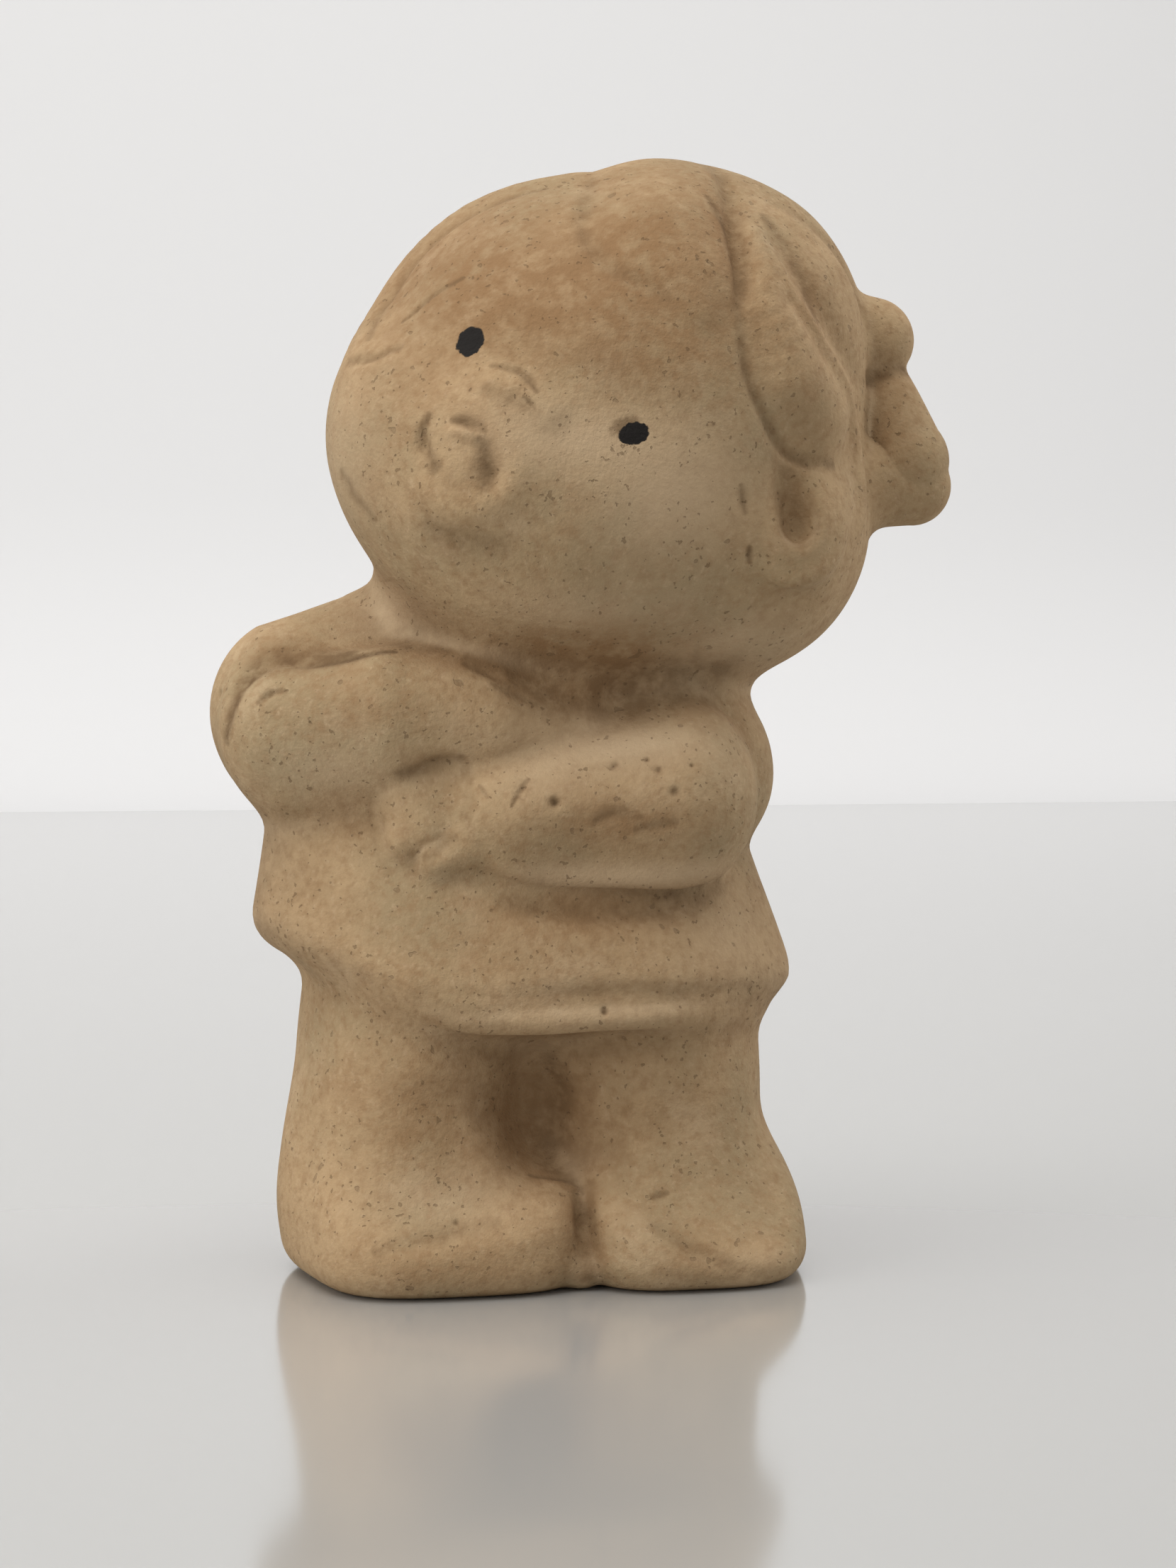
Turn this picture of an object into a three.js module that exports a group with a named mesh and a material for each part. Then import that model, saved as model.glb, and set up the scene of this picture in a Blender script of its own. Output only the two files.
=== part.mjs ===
// A small unglazed clay figure of a child: arms folded, head tipped back to one side, lips pursed, and
// hair tied in a loop at one ear. It was pressed in a mould as one piece, so it is one solid here too.
//
// The figure is described as a field: a function that is negative inside the clay, zero on its surface
// and positive outside. Rounded forms are melted together in that field as soft clay is, and a net of
// facets is then drawn round the place where it is zero.
//
// The frame is in millimetres with +Z up. The figure faces -Y, and the origin is on its flat underside.

import * as THREE from "three";

// Driving dimensions
const figureHeight = 90;
const facetRows = 36; // rows of facets in the height, before the net is made finer at the carving

// The pose and the carving are shares of the height, written in hundredths of it.
const percent = figureHeight / 100;
const facetSize = 100 / facetRows;
const finestGap = 0.14; // a facet's edge that stands further than this off the surface is split
const fineEdge = 1.3; // shorter edges are not split
const deepestCarving = 2.5;
const tiny = 0.02; // a distance too small to see

// Widths of the fillets between forms, in hundredths of the height
const softJoin = 5;
const closeJoin = 2;
const crispJoin = 0.7;

const headRoundness = 22; // mean radius of the head's surface

const degrees = THREE.MathUtils.degToRad;
const { clamp, smoothstep } = THREE.MathUtils;

// An egg: centre, three radii, and the angles that turn it about X, Y and Z.
function egg(centre, radii, turns = [0, 0, 0]) {
  const [a, b, c] = turns.map(degrees);
  const turn = new THREE.Matrix3().setFromMatrix4(
    new THREE.Matrix4().makeRotationFromEuler(new THREE.Euler(a, b, c, "ZYX")).transpose(),
  ).elements;
  const [cx, cy, cz] = centre;
  const [rx, ry, rz] = radii;
  return (x, y, z) => {
    const dx = x - cx;
    const dy = y - cy;
    const dz = z - cz;
    const u = (turn[0] * dx + turn[3] * dy + turn[6] * dz) / rx;
    const v = (turn[1] * dx + turn[4] * dy + turn[7] * dz) / ry;
    const w = (turn[2] * dx + turn[5] * dy + turn[8] * dz) / rz;
    const near = Math.sqrt(u * u + v * v + w * w);
    const slope = Math.hypot(u / rx, v / ry, w / rz);
    return slope > 1e-9 ? (near * (near - 1)) / slope : -Math.min(rx, ry, rz);
  };
}

// A limb: a rounded bar from one point to another, with a radius at each end.
function limb(from, to, startRadius, endRadius) {
  const [ax, ay, az] = from;
  const [bx, by, bz] = [to[0] - ax, to[1] - ay, to[2] - az];
  const lengthSquared = bx * bx + by * by + bz * bz;
  return (x, y, z) => {
    const share = ((x - ax) * bx + (y - ay) * by + (z - az) * bz) / lengthSquared;
    const t = clamp(share, 0, 1);
    const away = Math.hypot(x - ax - bx * t, y - ay - by * t, z - az - bz * t);
    return away - startRadius - (endRadius - startRadius) * t;
  };
}

// A strand: limbs through a row of points [x, y, z, radius].
function strand(points) {
  const limbs = points.slice(1).map((end, i) => {
    const start = points[i];
    return limb(start.slice(0, 3), end.slice(0, 3), start[3], end[3]);
  });
  return (x, y, z) => limbs.reduce((nearest, form) => Math.min(nearest, form(x, y, z)), Infinity);
}

// A cushion: its centre and three radii. It is blockier than an egg.
function cushion(centre, radii) {
  const [cx, cy, cz] = centre;
  const [rx, ry, rz] = radii;
  return (x, y, z) => {
    const u = Math.abs(x - cx) / rx;
    const v = Math.abs(y - cy) / ry;
    const w = Math.abs(z - cz) / rz;
    const near = Math.max(Math.cbrt(u ** 3 + v ** 3 + w ** 3), 1e-4);
    const slope = Math.hypot((u / near) ** 2 / rx, (v / near) ** 2 / ry, (w / near) ** 2 / rz);
    return (near - 1) / Math.max(slope, 1e-6);
  };
}

// How far a point is above the tilted plane through a place, with its rise along X and along Y
function slopeThrough(place, riseX, riseY) {
  const [px, py, pz] = place;
  const steep = Math.hypot(1, riseX, riseY);
  return (x, y, z) => (z - pz - riseX * (x - px) - riseY * (y - py)) / steep;
}

// Two fields melted into one, and one pressed out of another, with a fillet of about the given width
function melt(a, b, width) {
  const overlap = Math.max(width - Math.abs(a - b), 0) / width;
  return Math.min(a, b) - (overlap * overlap * width) / 4;
}

function press(a, b, width) {
  return -melt(-a, b, width);
}

// The field's slope at a point
function slopeAt(field, point) {
  const reach = 0.05;
  return [0, 1, 2].map((axis) => {
    const ahead = point.slice();
    const behind = point.slice();
    ahead[axis] += reach;
    behind[axis] -= reach;
    return (field(...ahead) - field(...behind)) / (2 * reach);
  });
}

// The nearest point of the surface, found by steps down the slope
function settled(field, point, rounds = 5) {
  const found = point.slice();
  for (let round = 0; round < rounds; round++) {
    const here = field(...found);
    const slope = slopeAt(field, found);
    const steepness = Math.max(slope[0] ** 2 + slope[1] ** 2 + slope[2] ** 2, 0.25);
    for (let axis = 0; axis < 3; axis++) found[axis] -= (here * slope[axis]) / steepness;
  }
  return found;
}

// A lock laid on the head, through places [x, y, z, half its width, height above the skin]. Along it,
// balls are sunk in the head so far that a cap of that width and height stands out.
function lock(skin, places) {
  const stages = 4;
  const along = places.slice(1).flatMap((end, i) =>
    Array.from({ length: stages }, (_, stage) =>
      places[i].map((value, n) => THREE.MathUtils.lerp(value, end[n], stage / stages)),
    ),
  );
  const balls = [...along, places.at(-1)].map(([x, y, z, halfWidth, height]) => {
    const point = settled(skin, [x, y, z]);
    const outward = new THREE.Vector3(...slopeAt(skin, point)).normalize();
    const fall = headRoundness - Math.sqrt(headRoundness ** 2 - halfWidth ** 2);
    const fromMiddle = (height * (2 * headRoundness + height)) / (2 * (fall + height));
    const radius = headRoundness + height - fromMiddle;
    const centre = new THREE.Vector3(...point).addScaledVector(outward, height - radius);
    return [...centre.toArray(), radius];
  });
  return strand(balls);
}

// Trouser legs, the feet that they widen into, the toes with their slanting tops, and the clay between them
const trousers = [
  egg([-12.0, 0.4, 17], [10.4, 13.4, 27]),
  egg([8.2, 0.4, 17], [12.0, 13.2, 27]),
];
const feet = [
  egg([-11.3, -0.2, 7.5], [12.8, 12.8, 15]),
  egg([11.2, -1.2, 1.0], [11.6, 13.2, 15]),
];
const toes = [
  cushion([-9.9, -5.2, 1.6], [12.6, 12.6, 10]),
  cushion([10.9, -6.4, 1.4], [10.8, 12.6, 10]),
];
const footTops = [
  slopeThrough([-9.0, -17.0, 5.8], 0.14, 0.8),
  slopeThrough([7.5, -17.0, 5.6], -0.2, 0.8),
];
const web = egg([0.6, -8.2, -3.0], [4.4, 8.7, 10.5]);
const legCleft = egg([-2.5, -12.2, 15.4], [2.1, 4.4, 4.0]);

function lowerBody(x, y, z) {
  const legs = melt(trousers[0](x, y, z), trousers[1](x, y, z), 11);
  const ankles = melt(feet[0](x, y, z), feet[1](x, y, z), 3);
  const fronts = toes.map((toe, side) => press(toe(x, y, z), -footTops[side](x, y, z), 1.4));
  const shod = melt(melt(...fronts, 1.2), web(x, y, z), 1.2);
  const standing = melt(melt(legs, ankles, 3), shod, 4.5);
  return press(standing, legCleft(x, y, z), 5);
}

// Tunic: a bell that steepens towards its hem. The hem rises on the figure's right and is turned under.
const hemHeight = 23.6;
const hemRise = 6.6;

function tunic(x, y, z) {
  const above = clamp(z - 26, 0, 26);
  const middle = -2.1 - 0.1 * above;
  const halfWidth = 25.2 - 0.24 * above;
  const rise = Math.min(z, 41) - 27;
  const halfDepth = 17.9 - 0.25 * (rise + Math.hypot(rise, 6));
  const side = (Math.hypot((x - middle) / halfWidth, (y + 0.5) / halfDepth) - 1) * halfDepth;
  const hem = hemHeight + hemRise * smoothstep(-x, 8, 28);
  const turnedUnder = 4 + 2 * smoothstep(x, -18, 8);
  return press(press(side, z - hem + 1.1, turnedUnder), 52 - z, 8);
}

// Shoulders and folded arms. The left sleeve has a flatter top and underside.
const torso = egg([-2.0, 1.2, 47], [18.5, 11.6, 15], [0, 14, 0]);
const rightUpperArm = limb([-14, 2.5, 54], [-20.9, 1.5, 49.8], 7.5, 9.2);
const rightForearm = strand([
  [-22.4, -3.4, 48.5, 7.2],
  [-15.0, -7.8, 49.5, 6.5],
  [-7.0, -9.8, 50.0, 5.3],
  [0.0, -9.6, 50.6, 3.8],
]);
const leftUpperArm = limb([9.0, 0, 47], [11.7, -2.0, 44.7], 8.2, 9.2);
const leftForearm = limb([8.4, -8.6, 42.8], [-4.0, -9.6, 41.8], 9.3, 7.6);
const forearmUnderside = slopeThrough([0, -14, 34.9], 0.03, 0);
const forearmTop = slopeThrough([2, -14.1, 47.8], 0.26, 0.9);
const leftHand = egg([-11.4, -10.0, 42.2], [4.8, 3.0, 3.4]);
const fingers = [
  limb([-12.0, -11.4, 40.2], [-14.0, -10.8, 39.2], 2.0, 1.8),
  limb([-9.6, -12.4, 38.4], [-11.4, -12.0, 37.5], 2.0, 1.8),
];

function arms(x, y, z) {
  const fingerEnds = melt(fingers[0](x, y, z), fingers[1](x, y, z), crispJoin);
  const hand = melt(leftHand(x, y, z), fingerEnds, 1.5);
  const flatBelow = press(leftForearm(x, y, z), forearmUnderside(x, y, z), 1.2);
  const sleeve = press(flatBelow, -forearmTop(x, y, z), 2);
  const upperArms = Math.min(rightUpperArm(x, y, z), leftUpperArm(x, y, z));
  return melt(melt(sleeve, hand, 1.5), upperArms, crispJoin);
}

// Head
const neck = egg([1.6, -1.0, 57.0], [15.4, 10.6, 9], [0, 19, 0]);
const skull = egg([4.9, -1.0, 76.0], [22.8, 22.4, 22.3]);
const cheeks = egg([-3.3, -8.0, 70.3], [18.8, 14.6, 14.2], [0, 34, -18]);
const jaw = egg([15.0, -4.0, 66.9], [14.2, 14.0, 13.6]);
const hairCap = egg([12.4, -0.5, 82.8], [17.3, 19.0, 16.9]);

function head(x, y, z) {
  const round = melt(skull(x, y, z), hairCap(x, y, z), 3);
  return melt(melt(round, jaw(x, y, z), 4), cheeks(x, y, z), 3);
}

// Hair: locks on the head, and the loop tied at the figure's left ear
const forelock = lock(head, [
  [9.3, -3.0, 98.6, 5.2, 0.4],
  [8.4, -9.6, 97.8, 5.8, 0.6],
  [7.3, -16.7, 92.4, 6.4, 1.3],
  [8.9, -19.5, 88.4, 5.0, 1.2],
  [9.3, -21.1, 85.0, 2.4, 0.7],
]);
const sidelock = lock(head, [
  [15.1, -16.8, 91.4, 1.6, 0.6],
  [15.9, -19.7, 84.4, 2.4, 1.0],
  [18.6, -19.0, 79.1, 3.9, 1.6],
  [21.6, -16.7, 76.0, 4.4, 1.7],
]);
const farLock = lock(head, [
  [1.2, -5.8, 97.6, 2.2, 0.4],
  [-7.5, -2.3, 95.4, 2.6, 0.6],
  [-12.9, -0.8, 91.6, 2.6, 0.5],
  [-16.6, -3.1, 86.5, 2.4, 0.4],
  [-18.2, -8.6, 81.1, 1.6, 0.3],
]);
const loopTop = egg([30.2, -3.6, 84.2], [3.6, 4.2, 3.8]);
const loopTail = strand([
  [30.4, -4.4, 80.0, 2.8],
  [32.6, -5.0, 73.0, 4.3],
  [33.6, -4.8, 70.8, 3.6],
  [29.6, -5.0, 71.0, 4.2],
]);

function headWithLoop(x, y, z) {
  const loop = melt(loopTop(x, y, z), loopTail(x, y, z), crispJoin);
  return melt(head(x, y, z), loop, 2.2);
}

// Ear, nose and pursed lips
const ear = egg([19.6, -14.9, 66.9], [5.6, 4.0, 6.6], [0, 10, 40]);
const earHollow = limb([18.4, -20.0, 69.4], [18.9, -19.2, 66.4], 1.6, 1.7);
const nose = lock(head, [
  [-7.8, -20.7, 78.2, 1.3, 0.35],
  [-6.0, -21.7, 76.9, 2.0, 0.6],
  [-4.1, -22.5, 75.5, 1.6, 0.55],
]);
const lips = lock(head, [
  [-11.0, -20.1, 72.6, 4.0, 0.5],
  [-10.6, -20.6, 69.6, 4.6, 1.0],
]);
const mound = lock(head, [
  [-11.4, -20.1, 72.0, 1.9, 0.6],
  [-11.0, -20.4, 70.9, 2.0, 0.75],
]);

function carvedHead(x, y, z) {
  const locks = Math.min(forelock(x, y, z), sidelock(x, y, z), farLock(x, y, z));
  const haired = melt(headWithLoop(x, y, z), locks, crispJoin);
  const eared = press(melt(haired, ear(x, y, z), crispJoin), earHollow(x, y, z), 1.2);
  const nosed = melt(eared, nose(x, y, z), crispJoin);
  return melt(melt(nosed, lips(x, y, z), closeJoin), mound(x, y, z), 1.2);
}

// The whole figure, flat below, with either head
function figureWith(headField) {
  return (x, y, z) => {
    const body = melt(lowerBody(x, y, z), tunic(x, y, z), 2.5);
    const chest = melt(body, torso(x, y, z), softJoin);
    const crossed = melt(chest, rightForearm(x, y, z), 3);
    const folded = melt(crossed, arms(x, y, z), 1.2);
    const collared = melt(folded, neck(x, y, z), 4.5);
    return press(melt(collared, headField(x, y, z), 4), z, 3);
  };
}

const rough = figureWith(headWithLoop);
const clay = figureWith(carvedHead);

// A net round the field's zero: one corner in each cell that the surface crosses, and one four-sided
// facet across each cell edge that it crosses.
function netAround(field, low, high, cell) {
  const counts = low.map((start, axis) => Math.ceil((high[axis] - start) / cell) + 1);
  const [nx, ny, nz] = counts;
  const steps = [1, nx, nx * ny];
  const values = new Float64Array(nx * ny * nz);
  for (let k = 0, n = 0; k < nz; k++)
    for (let j = 0; j < ny; j++)
      for (let i = 0; i < nx; i++, n++)
        values[n] = field(low[0] + i * cell, low[1] + j * cell, low[2] + k * cell);

  const cornerOf = new Map();
  const points = [];
  const offsets = [0, 1, 2, 3, 4, 5, 6, 7].map((bits) => [bits & 1, (bits >> 1) & 1, (bits >> 2) & 1]);
  const edges = [];
  offsets.forEach((a, p) => offsets.forEach((b, q) => {
    if (p < q && a.filter((v, i) => v !== b[i]).length === 1) edges.push([p, q]);
  }));
  for (let k = 0; k < nz - 1; k++)
    for (let j = 0; j < ny - 1; j++)
      for (let i = 0; i < nx - 1; i++) {
        const base = i + j * nx + k * nx * ny;
        const at = offsets.map(([a, b, c]) => values[base + a + b * steps[1] + c * steps[2]]);
        const crossed = edges.filter(([p, q]) => at[p] < 0 !== at[q] < 0);
        if (!crossed.length) continue;
        const sum = [0, 0, 0];
        for (const [p, q] of crossed) {
          const t = at[p] / (at[p] - at[q]);
          for (let axis = 0; axis < 3; axis++)
            sum[axis] += offsets[p][axis] + t * (offsets[q][axis] - offsets[p][axis]);
        }
        cornerOf.set(base, points.length);
        points.push([i, j, k].map((n, axis) => low[axis] + cell * (n + sum[axis] / crossed.length)));
      }

  const quads = [];
  for (const base of cornerOf.keys()) {
    const inside = values[base] < 0;
    for (let axis = 0; axis < 3; axis++) {
      if (values[base + steps[axis]] < 0 === inside) continue;
      const [u, v] = [steps[(axis + 1) % 3], steps[(axis + 2) % 3]];
      const around = [base, base - u, base - u - v, base - v].map((n) => cornerOf.get(n));
      quads.push(inside ? around : around.reverse());
    }
  }
  return { points, quads };
}

const apart = (a, b) => Math.hypot(a[0] - b[0], a[1] - b[1], a[2] - b[2]);

// Each four-sided facet as two triangles, split along its shorter diagonal
function trianglesOf(points, quads) {
  return quads.flatMap(([a, b, c, d]) =>
    apart(points[a], points[c]) < apart(points[b], points[d])
      ? [[a, b, c], [a, c, d]]
      : [[b, c, d], [b, d, a]],
  );
}

// The carved places, where the net is finer: the mouth, the nose, the ear and the left hand
const carved = [
  [-10.8, -20.5, 70.9, 6.0],
  [-6.0, -21.7, 76.9, 3.4],
  [19.0, -18.3, 67.0, 7.0],
  [-12.0, -13.8, 39.8, 5.2],
];

// The carved surface straight above or below a point of the rough one
function carvedPoint(point) {
  const outward = new THREE.Vector3(...slopeAt(rough, point)).normalize().toArray();
  const moved = (way) => point.map((value, axis) => value + outward[axis] * way);
  let inside = -deepestCarving;
  let outside = deepestCarving;
  while (outside - inside > 0.002) {
    const middle = (inside + outside) / 2;
    if (clay(...moved(middle)) < 0) inside = middle;
    else outside = middle;
  }
  return moved((inside + outside) / 2);
}

// Splits every edge that is too coarse. Both triangles at an edge see the same new corner, so the net
// stays closed.
function refined(points, triangles, coarse, placed) {
  const cornerOn = new Map();
  const split = (a, b) => {
    const key = a < b ? `${a} ${b}` : `${b} ${a}`;
    if (!cornerOn.has(key)) {
      const middle = points[a].map((v, axis) => (v + points[b][axis]) / 2);
      const wanted = coarse(points[a], points[b], middle);
      cornerOn.set(key, wanted ? points.push(placed(middle)) - 1 : -1);
    }
    return cornerOn.get(key);
  };
  return triangles.flatMap(([a, b, c]) => {
    const middles = [split(a, b), split(b, c), split(c, a)];
    const count = middles.filter((m) => m >= 0).length;
    if (count === 0) return [[a, b, c]];
    const [ab, bc, ca] = middles;
    if (count === 3) return [[a, ab, ca], [ab, b, bc], [ca, bc, c], [ab, bc, ca]];
    // turned so that the first edge is split, and the last one is not
    const turns = [[a, b, c, ab, bc, ca], [b, c, a, bc, ca, ab], [c, a, b, ca, ab, bc]];
    const [p, q, r, pq, qr] = turns.find((turn) => turn[3] >= 0 && turn[5] < 0);
    return count === 1 ? [[p, pq, r], [pq, q, r]] : [[p, pq, r], [pq, qr, r], [pq, q, qr]];
  });
}

// The rough figure's net, made finer in the carved places, carved, and made finer wherever it still
// stands off the surface
function figureSolid() {
  const low = [-34, -31, -facetSize];
  const high = [41, 27, 104];
  const net = netAround(rough, low, high, facetSize);
  const smooth = net.points.map((point) => settled(rough, point));
  const inCarving = (a, b, middle) =>
    apart(a, b) > fineEdge && carved.some((place) => apart(middle, place) < place[3]);
  const offSurface = (a, b, middle) => Math.abs(clay(...middle)) > finestGap && apart(a, b) > fineEdge;
  let triangles = trianglesOf(smooth, net.quads);
  for (let round = 0; round < 2; round++)
    triangles = refined(smooth, triangles, inCarving, (middle) => settled(rough, middle));
  const points = smooth.map(carvedPoint);
  for (let round = 0; round < 2; round++) triangles = refined(points, triangles, offSurface, carvedPoint);
  for (const point of points) if (point[2] < tiny) point[2] = 0; // the underside is quite flat
  const geometry = new THREE.BufferGeometry();
  geometry.setAttribute("position", new THREE.Float32BufferAttribute(points.flat().map((v) => v * percent), 3));
  geometry.setIndex(triangles.flat());
  geometry.computeVertexNormals();
  return geometry;
}

const bisque = new THREE.MeshStandardMaterial({ color: 0xb3966f, roughness: 0.9, metalness: 0 });
const figure = new THREE.Mesh(figureSolid(), bisque);
figure.name = "figure";

const model = new THREE.Group();
model.add(figure);
export default model;
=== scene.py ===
# %% [markdown]
# # A small clay figure of a child
# The real figure is a hand-high keepsake of unglazed clay. It was pressed in a mould as one piece, fired,
# and touched with two dots of dark paint for the eyes. Handling has left dirt in its creases. This lesson
# builds it as one fine mesh, gives it a clay finish made of shader nodes, and sets it on a pale table.
# Everything starts from the imported solid, which is loaded as a fixed frame.

import math

import bpy
import numpy as np
from mathutils import Euler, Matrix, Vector


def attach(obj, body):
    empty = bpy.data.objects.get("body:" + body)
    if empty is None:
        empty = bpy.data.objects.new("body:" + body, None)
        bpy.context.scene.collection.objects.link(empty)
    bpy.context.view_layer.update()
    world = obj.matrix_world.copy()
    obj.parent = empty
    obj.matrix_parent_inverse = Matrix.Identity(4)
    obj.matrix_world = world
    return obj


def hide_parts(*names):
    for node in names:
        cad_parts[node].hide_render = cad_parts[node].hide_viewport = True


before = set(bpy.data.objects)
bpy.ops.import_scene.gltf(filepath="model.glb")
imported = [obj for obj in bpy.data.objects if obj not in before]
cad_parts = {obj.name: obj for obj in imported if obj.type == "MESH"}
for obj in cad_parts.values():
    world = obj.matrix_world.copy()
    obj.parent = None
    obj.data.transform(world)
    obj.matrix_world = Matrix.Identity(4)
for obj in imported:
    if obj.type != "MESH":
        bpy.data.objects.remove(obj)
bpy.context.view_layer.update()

# %% [markdown]
# ## A measure to work in
# The solid was designed in hundredths of the figure's height, so the same numbers are used here. A share
# of the height is easy to read off a photograph, and the whole figure can be made in another size by
# changing one value. Only the last step turns the numbers into metres.

# %% Height and hundredths
figure_height = 0.090
percent = figure_height / 100
print("one hundredth of the height:", round(percent * 1000, 2), "mm")

# %% [markdown]
# ## Clay as a field
# Soft clay has no straight edges: one form flows into the next. Joined primitives would leave hard seams,
# and sculpting by hand can't be repeated by a script. A field does both. It is a function that is negative
# inside the clay, zero on its skin and positive outside, and two fields can be melted into one with a
# fillet of any width. Each function below takes a whole array of points at once, which keeps it quick.

# %% Rounded forms: eggs and limbs
def length(vectors):
    return np.sqrt(np.einsum("ij,ij->i", vectors, vectors))


def egg(centre, radii, turns=(0, 0, 0)):
    centre, radii = np.array(centre, float), np.array(radii, float)
    turned = np.array(Euler([math.radians(turn) for turn in turns]).to_matrix())

    def field(p):
        local = (p - centre) @ turned / radii
        near = np.maximum(length(local), 1e-4)
        return near * (near - 1) / np.maximum(length(local / radii), 1e-6)

    return field


def limb(start, end, start_radius, end_radius):
    start = np.array(start, float)
    along = np.array(end, float) - start

    def field(p):
        share = np.clip((p - start) @ along / (along @ along), 0, 1)
        away = length(p - start - share[:, None] * along)
        return away - start_radius - (end_radius - start_radius) * share

    return field


# %% Cushions, which are blockier than eggs
def cushion(centre, radii):
    centre, radii = np.array(centre, float), np.array(radii, float)

    def field(p):
        local = np.abs((p - centre) / radii)
        near = np.maximum(np.cbrt((local**3).sum(axis=1)), 1e-4)
        return (near - 1) / np.maximum(length((local / near[:, None]) ** 2 / radii), 1e-6)

    return field


def slope_through(place, rise_x, rise_y):
    """A tilted plane: positive above it, negative below."""
    steep = math.sqrt(1 + rise_x**2 + rise_y**2)
    return lambda p: ((p - place) @ [-rise_x, -rise_y, 1.0]) / steep


# %% Rows of limbs
out_of_reach = 4.0


def strand(places):
    """Limbs through a row of places [x, y, z, radius]. Points out of its reach get a plain large value."""
    places = np.array(places, float)
    limbs = [limb(a[:3], b[:3], a[3], b[3]) for a, b in zip(places, places[1:])]
    margin = places[:, 3].max() + out_of_reach
    low, high = places[:, :3].min(axis=0) - margin, places[:, :3].max(axis=0) + margin

    def field(p):
        distance = np.full(len(p), out_of_reach)
        close = ((p > low) & (p < high)).all(axis=1)
        if close.any():
            distance[close] = np.minimum.reduce([part(p[close]) for part in limbs])
        return distance

    return field


# %% Melting and pressing
def melt(a, b, width):
    overlap = np.maximum(width - np.abs(a - b), 0) / width
    return np.minimum(a, b) - overlap * overlap * width / 4


def press(a, b, width):
    return -melt(-a, b, width)


soft_join, close_join, crisp_join = 5, 2, 0.7
print("fillets in hundredths of the height:", soft_join, close_join, crisp_join)

# %% [markdown]
# ## Legs and feet
# The figure wears baggy trousers that end in blocky feet, with a narrow cleft between the legs. Each leg
# is one tall egg. Each foot is a rounder one with a low cushion in front, cut off at a slant for its top.
# The cleft is a dent in the shape of a small egg, as a modeller's fingertip would leave it.

# %% Lower body
trousers = egg([-12.0, 0.4, 17], [10.4, 13.4, 27]), egg([8.2, 0.4, 17], [12.0, 13.2, 27])
feet = egg([-11.3, -0.2, 7.5], [12.8, 12.8, 15]), egg([11.2, -1.2, 1.0], [11.6, 13.2, 15])
toes = cushion([-9.9, -5.2, 1.6], [12.6, 12.6, 10]), cushion([10.9, -6.4, 1.4], [10.8, 12.6, 10])
foot_tops = slope_through([-9.0, -17.0, 5.8], 0.14, 0.8), slope_through([7.5, -17.0, 5.6], -0.2, 0.8)
web = egg([0.6, -8.2, -3.0], [4.4, 8.7, 10.5])
leg_cleft = egg([-2.5, -12.2, 15.4], [2.1, 4.4, 4.0])
thigh_join, ankle_join, toe_edge, toe_join, shin_join, cleft_edge = 11, 3, 1.4, 1.2, 4.5, 5


def lower_body(p):
    legs = melt(trousers[0](p), trousers[1](p), thigh_join)
    ankles = melt(feet[0](p), feet[1](p), ankle_join)
    fronts = [press(toe(p), -top(p), toe_edge) for toe, top in zip(toes, foot_tops)]
    shod = melt(melt(*fronts, toe_join), web(p), toe_join)
    standing = melt(melt(legs, ankles, ankle_join), shod, shin_join)
    return press(standing, leg_cleft(p), cleft_edge)


# %% [markdown]
# ## Tunic
# The tunic is a bell whose hem rises on the figure's right side, with a thin rolled edge below it. No
# primitive has that shape, so its wall is written as an ellipse that narrows with height and steepens
# softly towards the hem, and the hem's height is a smooth step along the width.

# %% Tunic
hem_height, hem_rise = 23.6, 6.6


def smooth_step(values, low, high):
    share = np.clip((values - low) / (high - low), 0, 1)
    return share * share * (3 - 2 * share)


def tunic(p):
    x, y, z = p.T
    above = np.clip(z - 26, 0, 26)
    middle, half_width = -2.1 - 0.1 * above, 25.2 - 0.24 * above
    rise = np.minimum(z, 41) - 27
    half_depth = 17.9 - 0.25 * (rise + np.hypot(rise, 6))
    side = (np.hypot((x - middle) / half_width, (y + 0.5) / half_depth) - 1) * half_depth
    hem = hem_height + hem_rise * smooth_step(-x, 8, 28)
    turned_under = 4 + 2 * smooth_step(x, -18, 8)
    bell = press(press(side, z - hem + 1.1, turned_under), 52 - z, 8)
    inner = (np.hypot((x + 1.7) / 21.7, (y + 0.5) / 16.5) - 1) * 16.5
    roll = np.hypot(inner + 1.0, z - hem - 0.2) - 1.0
    return melt(bell, roll, crisp_join)


# %% [markdown]
# ## Folded arms
# The figure's right forearm lies behind the left one, whose hand ends in two small finger ends. The sleeves
# are fat limbs, so limbs with a radius at each end are enough. The join between them is kept narrow,
# because the photograph shows a clear line where they meet.

# %% Shoulders and arms
torso = egg([-2.0, 1.2, 47], [18.5, 11.6, 15], [0, 14, 0])
right_upper_arm = limb([-14, 2.5, 54], [-20.9, 1.5, 49.8], 7.5, 9.2)
right_forearm = strand(
    [[-22.4, -3.4, 48.5, 7.2], [-15.0, -7.8, 49.5, 6.5], [-7.0, -9.8, 50.0, 5.3], [0.0, -9.6, 50.6, 3.8]]
)
left_upper_arm = limb([9.0, 0, 47], [11.7, -2.0, 44.7], 8.2, 9.2)
left_forearm = limb([8.4, -8.6, 42.8], [-4.0, -9.6, 41.8], 9.3, 7.6)
forearm_underside = slope_through([0, -14, 34.9], 0.03, 0.0)
forearm_top = slope_through([2, -14.1, 47.8], 0.26, 0.9)
left_hand = egg([-11.4, -10.0, 42.2], [4.8, 3.0, 3.4])
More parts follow.
